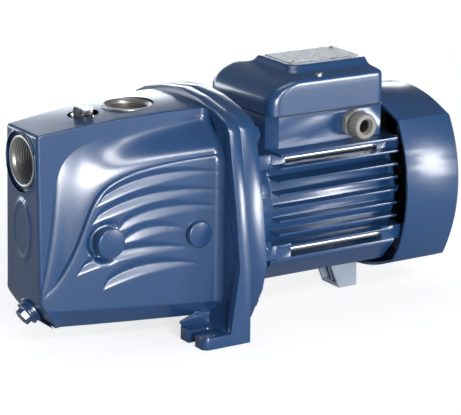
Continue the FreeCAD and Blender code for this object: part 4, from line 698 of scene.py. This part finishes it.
bright = finish_material("bright_aluminium", (0.72, 0.72, 0.73), 0.25, metallic=0.95, shade=0.12,
                         patch=200.0, grain_scale=1600.0, grain_depth=0.2, bump=0.0001)
dress(bright, "rating_plate_rivets")

# Inside the box: moulded phenolic board with brass studs, and the run capacitor in its saddle.
phenolic = finish_material("phenolic", (0.075, 0.035, 0.020), 0.40, shade=0.25, patch=90.0, coat=0.2)
brass = finish_material("turned_brass", (0.62, 0.44, 0.18), 0.28, metallic=1.0, shade=0.18, patch=150.0,
                        grain_scale=1500.0, grain_depth=0.2, bump=0.0001)
pale_mould = finish_material("pale_moulding", (0.60, 0.60, 0.57), 0.42, shade=0.08, patch=60.0)
black_mould = finish_material("black_moulding", (0.025, 0.025, 0.027), 0.42, shade=0.15, patch=80.0,
                              grain_scale=1100.0, grain_depth=0.4)
dress(phenolic, "terminal_board")
dress(brass, "terminal_studs")
dress(pale_mould, "capacitor")
dress(black_mould, "capacitor_saddle")

# ----------------------------------------------------------------------------------------------------------
# Cable gland: warm grey nylon, with a square-shouldered body in the box's near wall and a ribbed clamping
# nut that squeezes a soft black grommet round the supply cable.
nylon = finish_material("grey_nylon", (0.235, 0.225, 0.210), 0.45, shade=0.10, patch=110.0,
                        rough_change=0.10, grain_scale=1300.0, grain_depth=0.3, specular=0.45)
gland_x, gland_z = 142.0, 173.0
nut_y0, nut_y1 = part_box("gland_nut")[1].y / MM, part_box("gland_nut")[0].y / MM
nut_long = nut_y0 - nut_y1
nut_profile = np.array([  # radius, and distance from the body
    (10.05, 0.6), (10.05, 7.8), (6.75, 8.4), (6.75, nut_long - 1.6), (7.6, nut_long - 0.2), (8.2, nut_long),
    (10.2, nut_long), (11.3, nut_long - 0.7), (11.8, nut_long - 2.2), (12.1, 3.0), (11.8, 1.0), (11.2, 0.6),
    (10.05, 0.6)])
turn = np.linspace(0, 2 * math.pi, 288, endpoint=False)[None, :]
nut_r, nut_d = nut_profile[:, :1], nut_profile[:, 1:]
ribs = np.where(nut_r > 11.5, 0.38 * np.cos(turn * 24).clip(-0.6, 0.6), 0.0)
ribbed = grid_piece("gland_ribbed_nut", gland_x + (nut_r + ribs) * np.cos(turn), nut_y0 - nut_d + 0 * turn,
                    gland_z + (nut_r + ribs) * np.sin(turn), nylon, closed=True)
crisp_edges(ribbed, 45)
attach(ribbed, "gland_cap")
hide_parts("gland_nut")
collar = softened("gland_collar", ["gland_body"], 0.5, nylon)
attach(collar, "pump")
dress(nylon, "gland_locknut", "gland_thrust_ring")
dress(black_rubber, "gland_seal")

# ----------------------------------------------------------------------------------------------------------
# Hydraulic insert: moulded nozzle, venturi tube and diffuser in the casing, sealed by rubber rings, and a
# brass impeller on the shaft.
dress(black_mould, "ejector_nozzle", "venturi_tube", "diffuser")
dress(black_rubber, "venturi_seal", "casing_seal")
dress(brass, "impeller")

# ----------------------------------------------------------------------------------------------------------
# Shaft and shaft seal: turned stainless steel, a lapped ceramic seat in a rubber cup, and a carbon ring
# pressed on it by a stainless spring round rubber bellows.
stainless = finish_material("turned_stainless", (0.55, 0.55, 0.56), 0.28, metallic=1.0, shade=0.12,
                            patch=140.0, rough_change=0.12, grain_scale=1500.0, grain_depth=0.2, bump=0.0001)
ceramic = finish_material("lapped_ceramic", (0.80, 0.78, 0.72), 0.22, shade=0.05, patch=140.0)
carbon = finish_material("carbon", (0.022, 0.022, 0.024), 0.48, shade=0.2, patch=160.0)
dress(stainless, "shaft", "impeller_nut", "impeller_key", "seal_retainer", "seal_spring")
dress(ceramic, "seal_seat")
dress(carbon, "seal_carbon_ring")
dress(black_rubber, "seal_seat_cup", "seal_bellows", "water_slinger")

# ----------------------------------------------------------------------------------------------------------
# Ball bearings at both ends of the motor: ground rings, polished balls and a pressed steel cage each, and a
# wave spring that takes up their play.
ground_steel = finish_material("ground_steel", (0.60, 0.60, 0.61), 0.22, metallic=1.0, shade=0.10,
                               patch=150.0, grain_scale=1600.0, grain_depth=0.15, bump=0.0001)
for end in ("front", "rear"):
    dress(ground_steel, f"{end}_bearing_outer_ring", f"{end}_bearing_inner_ring", f"{end}_bearing_balls")
    dress(zinc, f"{end}_bearing_cage")
dress(ground_steel, "bearing_wave_spring")

# ----------------------------------------------------------------------------------------------------------
# Motor's active parts: stacked electrical steel, a cast aluminium cage and varnished copper coils, with the
# zinc plated tie rods and screws of the motor.
core_steel = finish_material("core_steel", (0.24, 0.24, 0.25), 0.42, metallic=0.8, shade=0.30, patch=220.0,
                             rough_change=0.15, grain_scale=1400.0, grain_depth=0.4)
coil_copper = finish_material("varnished_copper", (0.42, 0.16, 0.06), 0.35, metallic=0.6, shade=0.35,
                              patch=320.0, rough_change=0.2, grain_scale=1400.0, grain_depth=0.7, coat=0.4)
dress(core_steel, "stator_core", "rotor_core")
dress(bright, "rotor_cage")
dress(coil_copper, "stator_winding")
dress(zinc, "tie_rods", "motor_foot_screws", "fan_cover_screws")

# Fan: one black moulding on the shaft's rear end, and the steel clip that holds it there.
dress(black_mould, "fan")
dress(ground_steel, "fan_clip")
